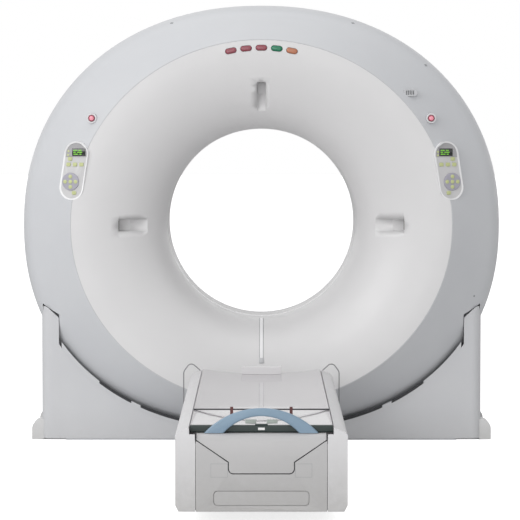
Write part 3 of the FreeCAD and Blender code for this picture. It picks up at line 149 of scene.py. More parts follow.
def buildFloorDustAndShade():
    # a coat that fades out with height above the floor: real dust on some finishes, painted shade near the
    # floor on the couch's
    group, given, end = newGroup("floorDustAndShade", {
        "Colour": (0.8, 0.8, 0.8, 1), "Dust": (0.36, 0.352, 0.34, 1), "Reach": 0.25,
        "Most": 0.3}, ("Colour",))
    place = objectPlace(group)
    split = addNode(group, "SeparateXYZ", [("Vector", place)])
    fade = rangeNode(group, split.outputs["Z"], 0.0, given["Reach"], given["Most"], 0.0)
    specks = rangeNode(group, noiseNode(group, place, 34.0, 6.0, 0.7), 0.3, 0.7, 0.65, 1.0)
    mask = addNode(group, "Math", [(0, fade), (1, specks)], operation="MULTIPLY", use_clamp=True)
    dustedAndShaded = mixColour(group, mask.outputs[0], given["Colour"], given["Dust"])
    return closeGroup(group, end, colour=dustedAndShaded)


def buildMilledMetal():
    group, given, end = newGroup("milledMetal", {
        "Colour": (0.5, 0.5, 0.5, 1), "Stain": (0.35, 0.33, 0.3, 1), "Stretch": (12.0, 420.0, 420.0),
        "Low Roughness": 0.25, "High Roughness": 0.5}, ("Colour", "Roughness", "Height"))
    place = objectPlace(group)
    long = addNode(group, "VectorMath", [(0, place), (1, given["Stretch"])], operation="MULTIPLY")
    brush = noiseNode(group, long.outputs[0], 1.0, 3.0)
    sheen = rangeNode(group, brush, 0.3, 0.7, given["Low Roughness"], given["High Roughness"])
    stains = rangeNode(group, noiseNode(group, place, 7.0, 6.0, 0.65), 0.45, 0.75, 0.0, 0.7)
    paint = mixColour(group, stains, given["Colour"], given["Stain"])
    return closeGroup(group, end, colour=paint, roughness=sheen, height=brush)


def buildCarbonTwill():
    group, given, end = newGroup("carbonTwill", {
        "Colour": (0.5, 0.5, 0.5, 1), "Weft": (0.45, 0.45, 0.45, 1), "Pitch": 260.0}, ("Colour", "Height"))
    place = objectPlace(group)
    turned = addNode(group, "Mapping", [("Vector", place)], rotation=(0, 0, math.radians(45)))
    waves = addNode(group, "TexWave", [("Vector", turned.outputs[0]), ("Scale", given["Pitch"])],
                    distortion=0.4)
    blots = noiseNode(group, place, 3.1, 4.0)
    both = addNode(group, "Math", [(0, waves.outputs["Fac"]), (1, blots)], operation="MULTIPLY")
    paint = mixColour(group, both.outputs[0], given["Colour"], given["Weft"])
    return closeGroup(group, end, colour=paint, height=waves.outputs["Fac"])


mouldedGrain = buildMouldedGrain()
floorDustAndShade = buildFloorDustAndShade()
milledMetal = buildMilledMetal()
carbonTwill = buildCarbonTwill()


finishes = {}


def wide(colour):
    return (*colour, 1.0)


def newMaterial(name, shader):
    material = bpy.data.materials.new(name)
    material.use_nodes = True
    principled = material.node_tree.nodes["Principled BSDF"]
    for key, value in shader.items():
        principled.inputs[socketLabel(key)].default_value = value
    finishes[name] = material
    return material.node_tree, principled


def bumpFrom(tree, principled, height, distance):
    bump = addNode(tree, "Bump", [("Height", height)], distance=distance)
    tree.links.new(bump.outputs["Normal"], principled.inputs["Normal"])


def grouped(name, kind, distance, shader, dust=None, **values):
    # a finish led by one of the groups; the floor coat's pair is its reach above the floor and its most
    # cover, real dust on some finishes and painted shade on the couch's
    tree, principled = newMaterial(name, shader)
    group = addNode(tree, "Group", node_tree=kind, **values)
    paint = group.outputs["Colour"]
    if dust:
        paint = addNode(tree, "Group", [("Colour", paint)], node_tree=floorDustAndShade, reach=dust[0],
                        most=dust[1]).outputs["Colour"]
    tree.links.new(paint, principled.inputs["Base Color"])
    if "Roughness" in group.outputs:
        tree.links.new(group.outputs["Roughness"], principled.inputs["Roughness"])
    bumpFrom(tree, principled, group.outputs["Height"], distance)


def moulded(name, colour, shade, roughness=(0.34, 0.46), grain=1100.0, bump=0.00004, dust=None, **shader):
    grouped(name, mouldedGrain, bump, shader, dust, colour=wide(colour), shade=wide(shade), grain=grain,
            lowRoughness=roughness[0], highRoughness=roughness[1])


def milled(name, colour, stain, roughness=(0.28, 0.5), stretch=(12.0, 420.0, 420.0), metallic=1.0):
    grouped(name, milledMetal, 0.00003, {"metallic": metallic}, colour=wide(colour), stain=wide(stain),
            stretch=stretch, lowRoughness=roughness[0], highRoughness=roughness[1])


def woven(name, colour, weft, **shader):
    grouped(name, carbonTwill, 0.00002, shader, colour=wide(colour), weft=wide(weft))


def glassy(name, colour, deep, **shader):
    # clear or tinted mouldings, a little uneven
    tree, principled = newMaterial(name, shader)
    place = objectPlace(tree)
    swirl = rangeNode(tree, noiseNode(tree, place, 60.0, 2.0), 0.3, 0.7, 0.0, 1.0)
    mix = addNode(tree, "Mix", [(0, swirl)], data_type="RGBA")
    mix.inputs[6].default_value = wide(colour)
    mix.inputs[7].default_value = wide(deep)
    tree.links.new(mix.outputs[2], principled.inputs["Base Color"])
    bumpFrom(tree, principled, noiseNode(tree, place, 300.0, 2.0), 0.00001)


# gantry plastics: colour, its second shade, roughness from and to
moulded("shellGrey", (0.6, 0.61, 0.63), (0.57, 0.58, 0.605))
moulded("flareWhite", (0.7, 0.695, 0.7), (0.675, 0.67, 0.675), (0.3, 0.4))
moulded("baseWhite", (0.6, 0.605, 0.62), (0.57, 0.575, 0.595), dust=(0.16, 0.2))
moulded("footWhite", (0.68, 0.68, 0.68), (0.63, 0.63, 0.63), dust=(0.12, 0.35))
moulded("stripWhite", (0.84, 0.84, 0.85), (0.8, 0.8, 0.82), (0.2, 0.28))
moulded("rimWhite", (0.86, 0.86, 0.87), (0.82, 0.82, 0.83), (0.18, 0.26))
moulded("panelDark", (0.39, 0.385, 0.395), (0.36, 0.355, 0.365), (0.3, 0.4))
moulded("panelLight", (0.6, 0.595, 0.6), (0.57, 0.565, 0.57), (0.35, 0.45))
moulded("keyLime", (0.56, 0.6, 0.3), (0.5, 0.54, 0.26), (0.3, 0.4))
moulded("padGrey", (0.4, 0.39, 0.45), (0.36, 0.35, 0.41), (0.35, 0.45))
moulded("stopRed", (0.33, 0.05, 0.085), (0.29, 0.04, 0.07), (0.2, 0.3), coatWeight=0.4)
moulded("stopPink", (0.92, 0.36, 0.44), (0.88, 0.32, 0.4), (0.2, 0.3))
moulded("collarWhite", (0.68, 0.68, 0.695), (0.64, 0.64, 0.655), (0.2, 0.3))
moulded("grilleGrey", (0.52, 0.525, 0.54), (0.48, 0.485, 0.5))
moulded("grilleShade", (0.22, 0.225, 0.235), (0.19, 0.195, 0.205))
moulded("sealDark", (0.035, 0.036, 0.04), (0.025, 0.026, 0.03), (0.6, 0.75), 700.0, 0.00008)
moulded("lipGrey", (0.54, 0.545, 0.56), (0.5, 0.505, 0.52), (0.5, 0.65))
moulded("seamGrey", (0.16, 0.165, 0.175), (0.13, 0.135, 0.145), (0.6, 0.75))
moulded("ductGrey", (0.33, 0.34, 0.35), (0.28, 0.29, 0.3), (0.5, 0.65), 600.0, 0.0001, dust=(0.02, 0.4))
moulded("powerGrey", (0.38, 0.4, 0.42), (0.33, 0.35, 0.37), (0.4, 0.55))
moulded("driveDark", (0.07, 0.075, 0.085), (0.05, 0.055, 0.065), (0.4, 0.6))

# couch plastics and carbon fibre
# on the couch the coat near the floor is painted shade, darker towards the floor; the darker second couch
# white is a shaded copy of the first, painted shade on the couch's front covers
moulded("couchWhite", (0.67, 0.665, 0.675), (0.64, 0.635, 0.645), dust=(0.34, 0.8))
moulded("endWhite", (0.5, 0.495, 0.5), (0.47, 0.465, 0.47), dust=(0.34, 0.8))
moulded("socketGrey", (0.74, 0.73, 0.74), (0.7, 0.69, 0.7))
moulded("handleBlue", (0.215, 0.31, 0.405), (0.195, 0.285, 0.38), (0.28, 0.4), 1400.0, 0.00002)
moulded("bumperBlue", (0.66, 0.74, 0.82), (0.62, 0.7, 0.78), (0.35, 0.5))
moulded("beamDark", (0.018, 0.031, 0.028), (0.013, 0.025, 0.022), (0.3, 0.45))
moulded("rodDark", (0.045, 0.045, 0.05), (0.03, 0.03, 0.035), (0.3, 0.45))
moulded("clipRed", (0.14, 0.045, 0.04), (0.1, 0.032, 0.03), (0.35, 0.5))
moulded("padGreen", (0.34, 0.38, 0.35), (0.3, 0.34, 0.31), (0.55, 0.7), 500.0, 0.00012)
moulded("labelBare", (0.85, 0.85, 0.84), (0.82, 0.82, 0.81), (0.35, 0.45))
woven("tableCarbon", (0.45, 0.43, 0.45), (0.41, 0.39, 0.41), roughness=0.2, coatWeight=0.5)

# metals: colour, stain, roughness from and to, and the stretch that gives the way of the brushing
milled("statorIron", (0.2, 0.19, 0.18), (0.12, 0.1, 0.09), (0.4, 0.6))
milled("frameSteel", (0.62, 0.63, 0.65), (0.54, 0.54, 0.55), (0.4, 0.6), metallic=0.15)
milled("couchSteel", (0.34, 0.35, 0.36), (0.26, 0.26, 0.27), (0.4, 0.6), metallic=0.5)
milled("bearingSteel", (0.58, 0.58, 0.59), (0.44, 0.43, 0.42), (0.15, 0.3))
milled("armSteel", (0.44, 0.45, 0.47), (0.33, 0.33, 0.34), (0.3, 0.5))
milled("slideSteel", (0.62, 0.62, 0.63), (0.5, 0.49, 0.48), (0.14, 0.28), (420.0, 8.0, 420.0))
milled("rotorAlu", (0.7, 0.71, 0.72), (0.58, 0.58, 0.58), (0.25, 0.45))
milled("tubeAlu", (0.66, 0.67, 0.69), (0.52, 0.52, 0.53), (0.25, 0.42))
milled("detectorAlu", (0.55, 0.57, 0.6), (0.44, 0.45, 0.47), (0.3, 0.5))
milled("collimatorSteel", (0.25, 0.26, 0.28), (0.18, 0.18, 0.19), (0.3, 0.5))
milled("ringCopper", (0.72, 0.38, 0.24), (0.45, 0.25, 0.17), (0.18, 0.34))
milled("wireSteel", (0.24, 0.24, 0.25), (0.18, 0.18, 0.18), (0.3, 0.42), metallic=0.6)
milled("screwSteel", (0.6, 0.6, 0.61), (0.45, 0.44, 0.43), (0.2, 0.36))

# windows, displays and lamp lenses
lensShader = {"roughness": 0.3, "coatWeight": 0.2, "subsurfaceWeight": 0.15}
glassy("bandClear", (0.55, 0.56, 0.58), (0.5, 0.51, 0.53), roughness=0.18, coatWeight=0.3)
# the laser panes' grey is partly the glass's tint and partly painted shade at the slots' outer ends
glassy("laserGlass", (0.25, 0.245, 0.235), (0.21, 0.205, 0.195), roughness=0.15, coatWeight=0.4)
glassy("displayGlass", (0.01, 0.012, 0.011), (0.006, 0.008, 0.007), roughness=0.06, coatWeight=0.6)
glassy("displayGreen", (0.22, 0.6, 0.06), (0.16, 0.48, 0.04),
       roughness=0.3, emissionColor=(0.22, 0.65, 0.05, 1), emissionStrength=0.2)
glassy("lampRed", (0.3, 0.07, 0.095), (0.25, 0.055, 0.075), **lensShader)
glassy("lampGreen", (0.006, 0.19, 0.095), (0.005, 0.155, 0.075), **lensShader)
glassy("lampOrange", (0.48, 0.19, 0.1), (0.42, 0.155, 0.08), **lensShader)
print("finishes made:", len(finishes))


def slotOf(look):
    # a finish's slot has its name, with underscores
    return "".join("_" + letter.lower() if letter.isupper() else letter for letter in look)


def newObject(name, data):
    made = bpy.data.objects.new(name, data)
    bpy.context.scene.collection.objects.link(made)
    return made


def finishPiece(name, bm, body, looks, stands=(), smooth=35.0, bevel=None, level=False, slot=None):
    # a finished piece sits at the origin, its place is in its mesh, and it rides on a body
    mesh = bpy.data.meshes.new(name)
    bm.to_mesh(mesh)
    bm.free()
    for look in looks:
        mesh.materials.append(finishes[look])
    mesh.shade_smooth()
    mesh.set_sharp_from_angle(angle=math.radians(smooth))
    piece = newObject(name, mesh)
    if bevel:
        edge = piece.modifiers.new("softEdges", "BEVEL")
        edge.width, edge.segments, edge.limit_method = bevel, 2, "ANGLE"
        edge.angle_limit = math.radians(40)
        edge.harden_normals = True
    if level:
        piece.modifiers.new("levelNormals", "WEIGHTED_NORMAL").keep_sharp = True
    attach(piece, body)
    slot or slotOf(looks[0])
    if stands:
        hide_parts(*stands)
    return piece


def nodeCopy(node, plain=False):
    # a welded copy of a solid's mesh; plain keeps all its triangles
    bm = bmesh.new()
    bm.from_mesh(nodes[node].data)
    ops.remove_doubles(bm, verts=bm.verts, dist=weld)
    if not plain:
        ops.dissolve_limit(bm, angle_limit=math.radians(0.4), verts=bm.verts, edges=bm.edges,
                           delimit={"NORMAL"})
    return bm


def dressed(name, node, look, bevel=0.001, slot=None):
    return finishPiece(name, nodeCopy(node), nodes[node]["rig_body"], [look], [node], 32.0, bevel,
                       slot=slot)


def cover(name, bm, body, look, node, slot=None):
    return finishPiece(name, bm, body, [look], [node], 32.0, level=True, slot=slot)


def allParts(bm):
    return bm.verts[:] + bm.edges[:] + bm.faces[:]


def roundEdges(bm, edges, width, segments):
    ops.bevel(bm, geom=edges, offset=width, segments=segments, profile=0.5, affect="EDGES", material=-1)


def depthEdges(bm, depth):
    # the edges that run straight back along Y
    return [edge for edge in bm.edges if abs(edge.verts[0].co.y - edge.verts[1].co.y) > depth / 2]


def block(size, bevel=0.0, segments=3):
    bm = bmesh.new()
    ops.create_cube(bm, size=1.0)
    ops.scale(bm, vec=size, verts=bm.verts)
    if bevel:
        roundEdges(bm, bm.edges[:], bevel, segments)
    return bm


def pill(width, length, thick, bevel, segments=4, rounds=48):
    # an upright slot shape that faces -Y, its back at y = 0
    bm = bmesh.new()
    made = ops.create_circle(bm, cap_ends=True, radius=width / 2, segments=rounds)["verts"]
    ops.rotate(bm, verts=made, matrix=Matrix.Rotation(math.pi / rounds, 3, "Z"))
    for vert in made:
        vert.co.y += math.copysign((length - width) / 2, vert.co.y)
    ops.rotate(bm, verts=made, matrix=Matrix.Rotation(math.pi / 2, 3, "X"))
    front = ops.extrude_face_region(bm, geom=bm.faces[:])["geom"]
    moved = [item for item in front if isinstance(item, bmesh.types.BMVert)]
    ops.translate(bm, verts=moved, vec=(0, -thick, 0))
    rim = [edge for edge in bm.edges if all(vert.co.y < -thick / 2 for vert in edge.verts)]
    if bevel:
        roundEdges(bm, rim, bevel, segments)
    ops.recalc_face_normals(bm, faces=bm.faces)
    return bm


def lathe(profile, rounds=64):
    # (along, radius) pairs turned about Y; a profile that starts and ends on the axis is closed
    bm = bmesh.new()
    verts = [bm.verts.new((radius, along, 0)) for along, radius in profile]
    edges = [bm.edges.new(pair) for pair in zip(verts, verts[1:])]
    ops.spin(bm, geom=verts + edges, cent=(0, 0, 0), axis=(0, 1, 0), angle=math.tau, steps=rounds,
             use_merge=True)
    ops.remove_doubles(bm, verts=bm.verts, dist=weld)
    ops.recalc_face_normals(bm, faces=bm.faces)
    return bm


def join(whole, part, place=Matrix(), look=0):
    # adds a part to a whole at a place, in the whole's finish of that number
    part.transform(place)
    for face in part.faces:
        face.material_index = look
    if place.determinant() < 0:
        ops.reverse_faces(part, faces=part.faces)
    mesh = bpy.data.meshes.new("part")
    part.to_mesh(mesh)
    part.free()
    whole.from_mesh(mesh)
    bpy.data.meshes.remove(mesh)
    return whole


def move(x, y, z):
    return Matrix.Translation((x, y, z))


def blocks(places, size, edge=0.0, segments=3):
    whole = bmesh.new()
    for place in places:
        join(whole, block(size, edge, segments), place)
    return whole


def at(x, y, z):
    # y from the scan plane, z from the floor
    return move(x, scanY + y, z)


def ringAt(x, y, z):
    return at(x, y, isoZ + z)


def turn(degrees, axis):
    return Matrix.Rotation(math.radians(degrees), 4, axis)


def ellipseBand(stations, powers=(2.0, 2.0)):
    # rings round the bore axis, each (y, half width, above, below), joined in turn; the powers square
    # off the upper and the lower half
    rounds = 192
    bm = bmesh.new()
    rings = []
    for y, halfWidth, above, below in stations:
        rings.append([])
        for index in range(rounds):
            angle = math.tau * index / rounds
            across, up = -math.sin(angle), math.cos(angle)
            exponent = 2 / (powers[0] if up >= 0 else powers[1])
            x = math.copysign(abs(across) ** exponent, across) * halfWidth
            z = math.copysign(abs(up) ** exponent, up) * (above if up >= 0 else below)
            rings[-1].append(bm.verts.new((x, scanY + y, isoZ + z)))
    for near, far in zip(rings, rings[1:]):
        for index in range(rounds):
            bm.faces.new((near[index], far[index], far[index - 1], near[index - 1]))
    return bm


def dropFaces(bm, unwanted):
    gone = [face for face in bm.faces if unwanted(face.calc_center_median())]
    ops.delete(bm, geom=gone, context="FACES")


def carve(bm, cutter):
    # takes the cutter's closed shapes out of a closed shape
    whole = bm.calc_volume()
    pair = []
    for name, source in (("carved", bm), ("cutter", cutter)):
        mesh = bpy.data.meshes.new(name)
        source.to_mesh(mesh)
        source.free()
        pair.append(newObject(name, mesh))
    tool = pair[0].modifiers.new("carve", "BOOLEAN")
    tool.object, tool.operation, tool.solver = pair[1], "DIFFERENCE", "EXACT"
    tool.use_self = True
    result = bpy.data.meshes.new_from_object(pair[0].evaluated_get(bpy.context.evaluated_depsgraph_get()))
    made = bmesh.new()
    made.from_mesh(result)
    for item in pair:
        mesh = item.data
        bpy.data.objects.remove(item)
        bpy.data.meshes.remove(mesh)
    bpy.data.meshes.remove(result)
    if abs(made.calc_volume()) < 0.9 * abs(whole):
        raise RuntimeError("carving took away most of a cover")
    return made


def frameGroove(cutter, place, width, height, groove=0.003, deep=0.003):
    # a rectangle of four grooves in a face that looks along -Y
    level, upright = (width + groove, deep, groove), (groove, deep, height)
    for x, z, size in ((0, 0.5, level), (0, -0.5, level), (0.5, 0, upright), (-0.5, 0, upright)):
        join(cutter, block(size), place @ move(x * width, 0, z * height))
    return cutter


lip = {"halfWidth": 0.883, "top": 0.859, "bottom": 0.824, "front": 0.47, "throat": 0.17, "bore": 0.45}


def flareSpot(degrees):
    # a point on the white flare's lowest line, from 0 degrees at the bore to 90 at the lip
    share = 1 - math.cos(math.radians(degrees))
    z = lip["bore"] + (lip["bottom"] - lip["bore"]) * share
    return Vector((0, -lip["throat"] - (lip["front"] - lip["throat"]) * math.sin(math.radians(degrees)), -z))


# gantry covers, which all ride on the ring
for name, node, look in (("frontCoverShell", "front_cover", "shellGrey"),
                         ("flareShell", "front_funnel", "flareWhite"),
                         ("rearFlareShell", "rear_funnel", "flareWhite"),
                         ("scanWindow", "scan_window_band", "bandClear")):
    cover(name, nodeCopy(node, True), "ring", look, node)

rear = {"face": 0.48, "ventX": 0.74, "ventWidth": 0.17, "slats": 15, "pitch": 0.02, "slot": 0.009,
        "slotDeep": 0.03, "past": 0.01, "seams": (0.72, -0.7), "seamSize": (0.003, 0.005, 0.27)}
rearCutter = bmesh.new()
for side in (-1, 1):
    for row in range(rear["slats"]):
        z = (row - (rear["slats"] - 1) / 2) * rear["pitch"]
        vent = pill(rear["slot"], rear["ventWidth"], rear["slotDeep"], 0, rounds=16)
        join(rearCutter, vent, ringAt(side * rear["ventX"], rear["face"] + rear["past"], z) @ turn(90, "Y"))
for z in rear["seams"]:
    join(rearCutter, block(rear["seamSize"]), ringAt(0, rear["face"], z))
rearShell = carve(nodeCopy("rear_cover", True), rearCutter)
cover("rearCoverShell", rearShell, "ring", "shellGrey", "rear_cover")

screw = {"count": 12, "first": 15, "halfWidth": 0.9, "halfHeight": 0.8, "radius": 0.006, "proud": 0.0001}
screws = bmesh.new()
for index in range(screw["count"]):
    angle = math.radians(screw["first"] + index * 360 / screw["count"])
    x, z = screw["halfWidth"] * math.cos(angle), screw["halfHeight"] * math.sin(angle)
    radius = screw["radius"]
    head = lathe([(-0.001, 0), (-0.001, radius), (-0.0004, radius), (-0.0001, radius * 0.8),
                  (-0.0001, radius * 0.35), (-0.0008, radius * 0.3), (-0.0008, 0)], 24)
    join(screws, head, ringAt(x, rear["face"] + screw["proud"], z))
finishPiece("rearScrews", screws, "ring", ["screwSteel"], slot="shell_grey")

# the joint between the front and rear covers, left open where the stand arms pass
ringSize = {"halfWidth": 1.126, "above": 1.031, "below": 0.98, "powers": (2.15, 2.25), "halfDepth": 0.2}
coverSeam = {"half": 0.0015, "under": 0.0012, "flush": 0.0003, "gap": (0.94, 1.04), "gapTop": -0.3}
stations = []
for side, kind in ((-1, "under"), (-1, "flush"), (1, "flush"), (1, "under")):
    sunk = coverSeam[kind]
    stations.append((side * coverSeam["half"], ringSize["halfWidth"] - sunk, ringSize["above"] - sunk,
                     ringSize["below"] - sunk))


def inGap(spot):
    return coverSeam["gap"][0] < abs(spot.x) < coverSeam["gap"][1] and spot.z < isoZ + coverSeam["gapTop"]


midSeal = ellipseBand(stations, ringSize["powers"])
dropFaces(midSeal, inGap)
finishPiece("midSeal", midSeal, "ring", ["seamGrey"], slot="shell_grey")

liner = {"x": 0.9475, "size": (0.002, 0.52, 0.22), "z": -0.43}
slotLiners = blocks([ringAt(side * liner["x"], 0, liner["z"]) for side in (-1, 1)], liner["size"])
finishPiece("slotLiners", slotLiners, "ring", ["shellGrey"])

panel = {"offset": 0.872, "rise": 0.256, "front": 0.457, "turn": 17, "lean": 9.1, "split": 0.063,
         "halfWidth": 0.0585, "halfLength": 0.1375, "rim": 0.007, "rimDeep": 0.004, "floor": 0.0008,
         "clear": (0.066, 0.142), "facing": 0.7, "inWell": 0.002}


def panelPlace(side):
    return ringAt(side * panel["offset"], -panel["front"], panel["rise"]) @ turn(side * panel["turn"], "Z")


def leanedPlace(side):
    # the housings lean outwards at the top, their keys stand upright
    return panelPlace(side) @ turn(-panel["lean"] * side, "Y")


def nearPanel(spot):
    for side in (-1, 1):
        local = leanedPlace(side).inverted() @ spot
        if abs(local.x) < panel["clear"][0] and abs(local.z) < panel["clear"][1]:
            return True
    return False


# the seal round the flare's lip stops at the panels
lipEdge = {"inner": 0.004, "outer": 0.0075, "back": 0.0015, "thick": 0.002}
lipSeal = ellipseBand([(-lip["front"] + lipEdge["back"], lip["halfWidth"] + out, lip["top"] + out,
                        lip["bottom"] + out) for out in (lipEdge["inner"], lipEdge["outer"])])
dropFaces(lipSeal, nearPanel)
ops.solidify(lipSeal, geom=lipSeal.faces[:], thickness=lipEdge["thick"])
finishPiece("lipSeal", lipSeal, "ring", ["lipGrey"], slot="shell_grey")

coverTree = BVHTree.FromBMesh(nodeCopy("front_cover", True))
latch = {"spots": ((-0.421, 0.946), (0.43, 0.946), (0.772, 0.748)), "size": (0.015, 0.004, 0.012),
         "edge": 0.0008, "proud": 0.0006, "dot": (1.0, -0.335), "dotRadius": 0.005}


def onCover(x, z):
    # a frame on the front cover's outside, its -Y axis along the surface's normal
    spot, normal, index, distance = coverTree.ray_cast(Vector((x, -3.0, isoZ + z)), Vector((0, 1, 0)))
    return Matrix.Translation(spot) @ normal.to_track_quat("-Y", "Z").to_matrix().to_4x4()


sink = move(0, latch["size"][1] / 2 - latch["proud"], 0)
catches = blocks([onCover(x, z) @ sink for x, z in latch["spots"]], latch["size"], latch["edge"])
dot = lathe([(0.003, 0), (0.003, latch["dotRadius"]), (-0.0005, latch["dotRadius"]),
             (-0.0008, latch["dotRadius"] * 0.7), (-0.0008, 0)], 24)
join(catches, dot, onCover(*latch["dot"]))
finishPiece("coverCatches", catches, "ring", ["ductGrey"], slot="shell_grey")
print("gantry covers dressed")

# signal lamps, on an arc above the flare
lamps = {"arc": 0.707, "spacing": 0.0714, "height": 0.827, "length": 0.053, "width": 0.026, "thick": 0.0135,
         "round": 0.009, "sunk": 0.01}
for colour, node, places in (("red", "lamps_red", (-2, -1, 0)), ("green", "lamp_green", (1,)),
                             ("orange", "lamp_orange", (2,))):
    lenses = bmesh.new()
    for index in places:
        angle = index * lamps["spacing"] / lamps["arc"]
        place = ringAt(lamps["arc"] * math.sin(angle), -lip["front"] + lamps["sunk"],
                       lamps["height"] - lamps["arc"] * (1 - math.cos(angle)))
        join(lenses, pill(lamps["width"], lamps["length"], lamps["thick"], lamps["round"], 8),
             place @ Matrix.Rotation(angle, 4, "Y") @ turn(90, "Y"))
    word = colour.capitalize()
    finishPiece(f"lampLens{word}", lenses, "ring", [f"lamp{word}"], [node], smooth=60)

# laser windows: a pane sunk at the front and a pale floor behind it; the panes' dark grey is partly the
# window's tint and partly painted shade at the slots' outer ends
laser = {"outer": 0.668, "floor": 0.35, "windows": ((0.04, 0), (0.058, -90), (0.058, 90)),
         "paneGap": 0.016, "paneDeep": 0.058, "paneThick": 0.0028, "paneFront": 0.045, "paneSunk": 0.0016,
         "paneEdge": 0.001, "linerGap": 0.002, "linerThick": 0.0012, "linerTall": 0.05, "linerBack": 0.0008,
         "linerSunk": 0.027, "linerEdge": 0.0004}
liners = bmesh.new()
panes = bmesh.new()
for width, degrees in laser["windows"]:
    spin = ringAt(0, 0, 0) @ turn(degrees, "Y")
    pane = block((width - laser["paneGap"], laser["paneDeep"], laser["paneThick"]), laser["paneEdge"])
    join(panes, pane, spin @ move(0, -laser["floor"] - laser["paneFront"],
                                  laser["outer"] - laser["paneSunk"]))
    floor = block((width - laser["linerGap"], laser["linerThick"], laser["linerTall"]), laser["linerEdge"], 1)
    join(liners, floor, spin @ move(0, -laser["floor"] - laser["linerBack"],
                                    laser["outer"] - laser["linerSunk"]))
finishPiece("laserPanes", panes, "ring", ["laserGlass"], ["laser_windows"])
finishPiece("laserFloors", liners, "ring", ["flareWhite"])

# light strip, with a fine dark line down each side and a bracket at its foot
strip = {"half": 0.008, "end": 57.8, "outline": 0.0016, "overlap": 0.0006, "steps": 24,
         "bracket": (0.022, 0.01, 0.026), "bracketEdge": 0.002, "past": 1.5, "back": 0.001, "tilt": -28}
dressed("lightStrip", "light_rail", "stripWhite", bevel=0.0008, slot="rail_white")
outlines = bmesh.new()
for side in (-1, 1):
    previous = None
    for step in range(strip["steps"] + 1):
        spot = flareSpot(strip["end"] * step / strip["steps"])
        x = side * (strip["half"] + strip["outline"] / 2)
        if previous:
            run = spot - previous
            rod = block((strip["outline"], run.length + strip["overlap"], strip["outline"]))
            tilt = math.atan2(run.z, run.y)
            join(outlines, rod, ringAt(x, (spot.y + previous.y) / 2, (spot.z + previous.z) / 2)
                 @ Matrix.Rotation(tilt, 4, "X"))
        previous = spot
finishPiece("stripOutlines", outlines, "ring", ["seamGrey"], slot="rail_white")
foot = flareSpot(strip["end"] + strip["past"])
bracket = blocks([ringAt(0, foot.y + strip["back"], foot.z) @ turn(strip["tilt"], "X")],
                 strip["bracket"], strip["bracketEdge"])
finishPiece("stripBracket", bracket, "ring", ["grilleGrey"], slot="rail_white")
print("lamps, lasers and light strip made")

# control panels: the housings' wells are levelled, and the fields in them get their own finishes
keys = {"menu": (0.019, 0.055), "row_outer": (0.027, 0.029), "row_middle": (-0.005, 0.029),
        "row_inner": (-0.037, 0.029), "direction": (0.017, -0.051), "light": (0.0, -0.103)}
keyShape = {"size": (0.02, 0.008, 0.017), "corner": 0.0042, "edge": 0.0016}
pad = {"radius": 0.0408, "caps": ((0, 0), (-0.026, 0), (0.026, 0), (0, 0.024), (0, -0.024))}


def keyCap():
    bm = block(keyShape["size"])
    roundEdges(bm, depthEdges(bm, keyShape["size"][1]), keyShape["corner"], 5)
    front = [edge for edge in bm.edges if all(vert.co.y < 0 for vert in edge.verts)]
    roundEdges(bm, front, keyShape["edge"], 4)
    return bm


def directionPad(place):
    radius = pad["radius"]
    disc = lathe([(0.004, 0), (0.004, radius), (-0.0028, radius), (-0.0037, radius - 0.0012),
                  (-0.004, radius - 0.004), (-0.0034, radius * 0.55), (-0.0032, 0)])
    whole = join(bmesh.new(), disc, place)
    for across, up in pad["caps"]:
        cap = lathe([(-0.002, 0), (-0.002, 0.009), (-0.0056, 0.009), (-0.0064, 0.0076), (-0.0066, 0)], 40)
        join(whole, cap, place @ move(across, 0, up), 1)
    return whole


def levelWell(housing, place):
    # the front of the housing inside its rim, drawn back to one flat floor
    back = place.inverted()
    for vert in housing.verts:
        local = back @ vert.co
        along = max(abs(local.z) - panel["halfLength"] + panel["halfWidth"], 0.0)
        inside = math.hypot(local.x, along) < panel["halfWidth"] - panel["rim"] / 2
        if inside and local.y < -panel["rimDeep"]:
            local.y = -panel["floor"]
            vert.co = place @ local


for side, word in sides:
    place = panelPlace(side)
    back = place.inverted()
    housing = nodeCopy(f"panel_{word}")
    levelWell(housing, leanedPlace(side))
    ops.bisect_plane(housing, geom=allParts(housing), dist=weld, plane_no=(0, 0, 1),
                     plane_co=place @ Vector((0, 0, panel["split"])))
    for face in housing.faces:
        local = back @ face.calc_center_median()
        facing = -(back.to_3x3() @ face.normal).y
        if facing > panel["facing"] and local.y > -panel["inWell"]:
            face.material_index = 1 if local.z > panel["split"] else 2
    finishPiece(f"panelHousing{word.capitalize()}", housing, "ring",
                ["rimWhite", "panelDark", "panelLight"], [f"panel_{word}"], smooth=30, bevel=0.0007,
                slot="panel_grey")
    for key, (outboard, rise) in keys.items():
        spot = place @ move(side * outboard, 0, rise)
        node = f"key_{key}_{word}"
        label = "key" + "".join(bit.capitalize() for bit in key.split("_")) + word.capitalize()
        cap, looks = join(bmesh.new(), keyCap(), spot), ["keyLime"]
        if key == "direction":
            cap, looks = directionPad(spot), ["padGrey", "keyLime"]
        finishPiece(label, cap, node, looks, [node], smooth=50)

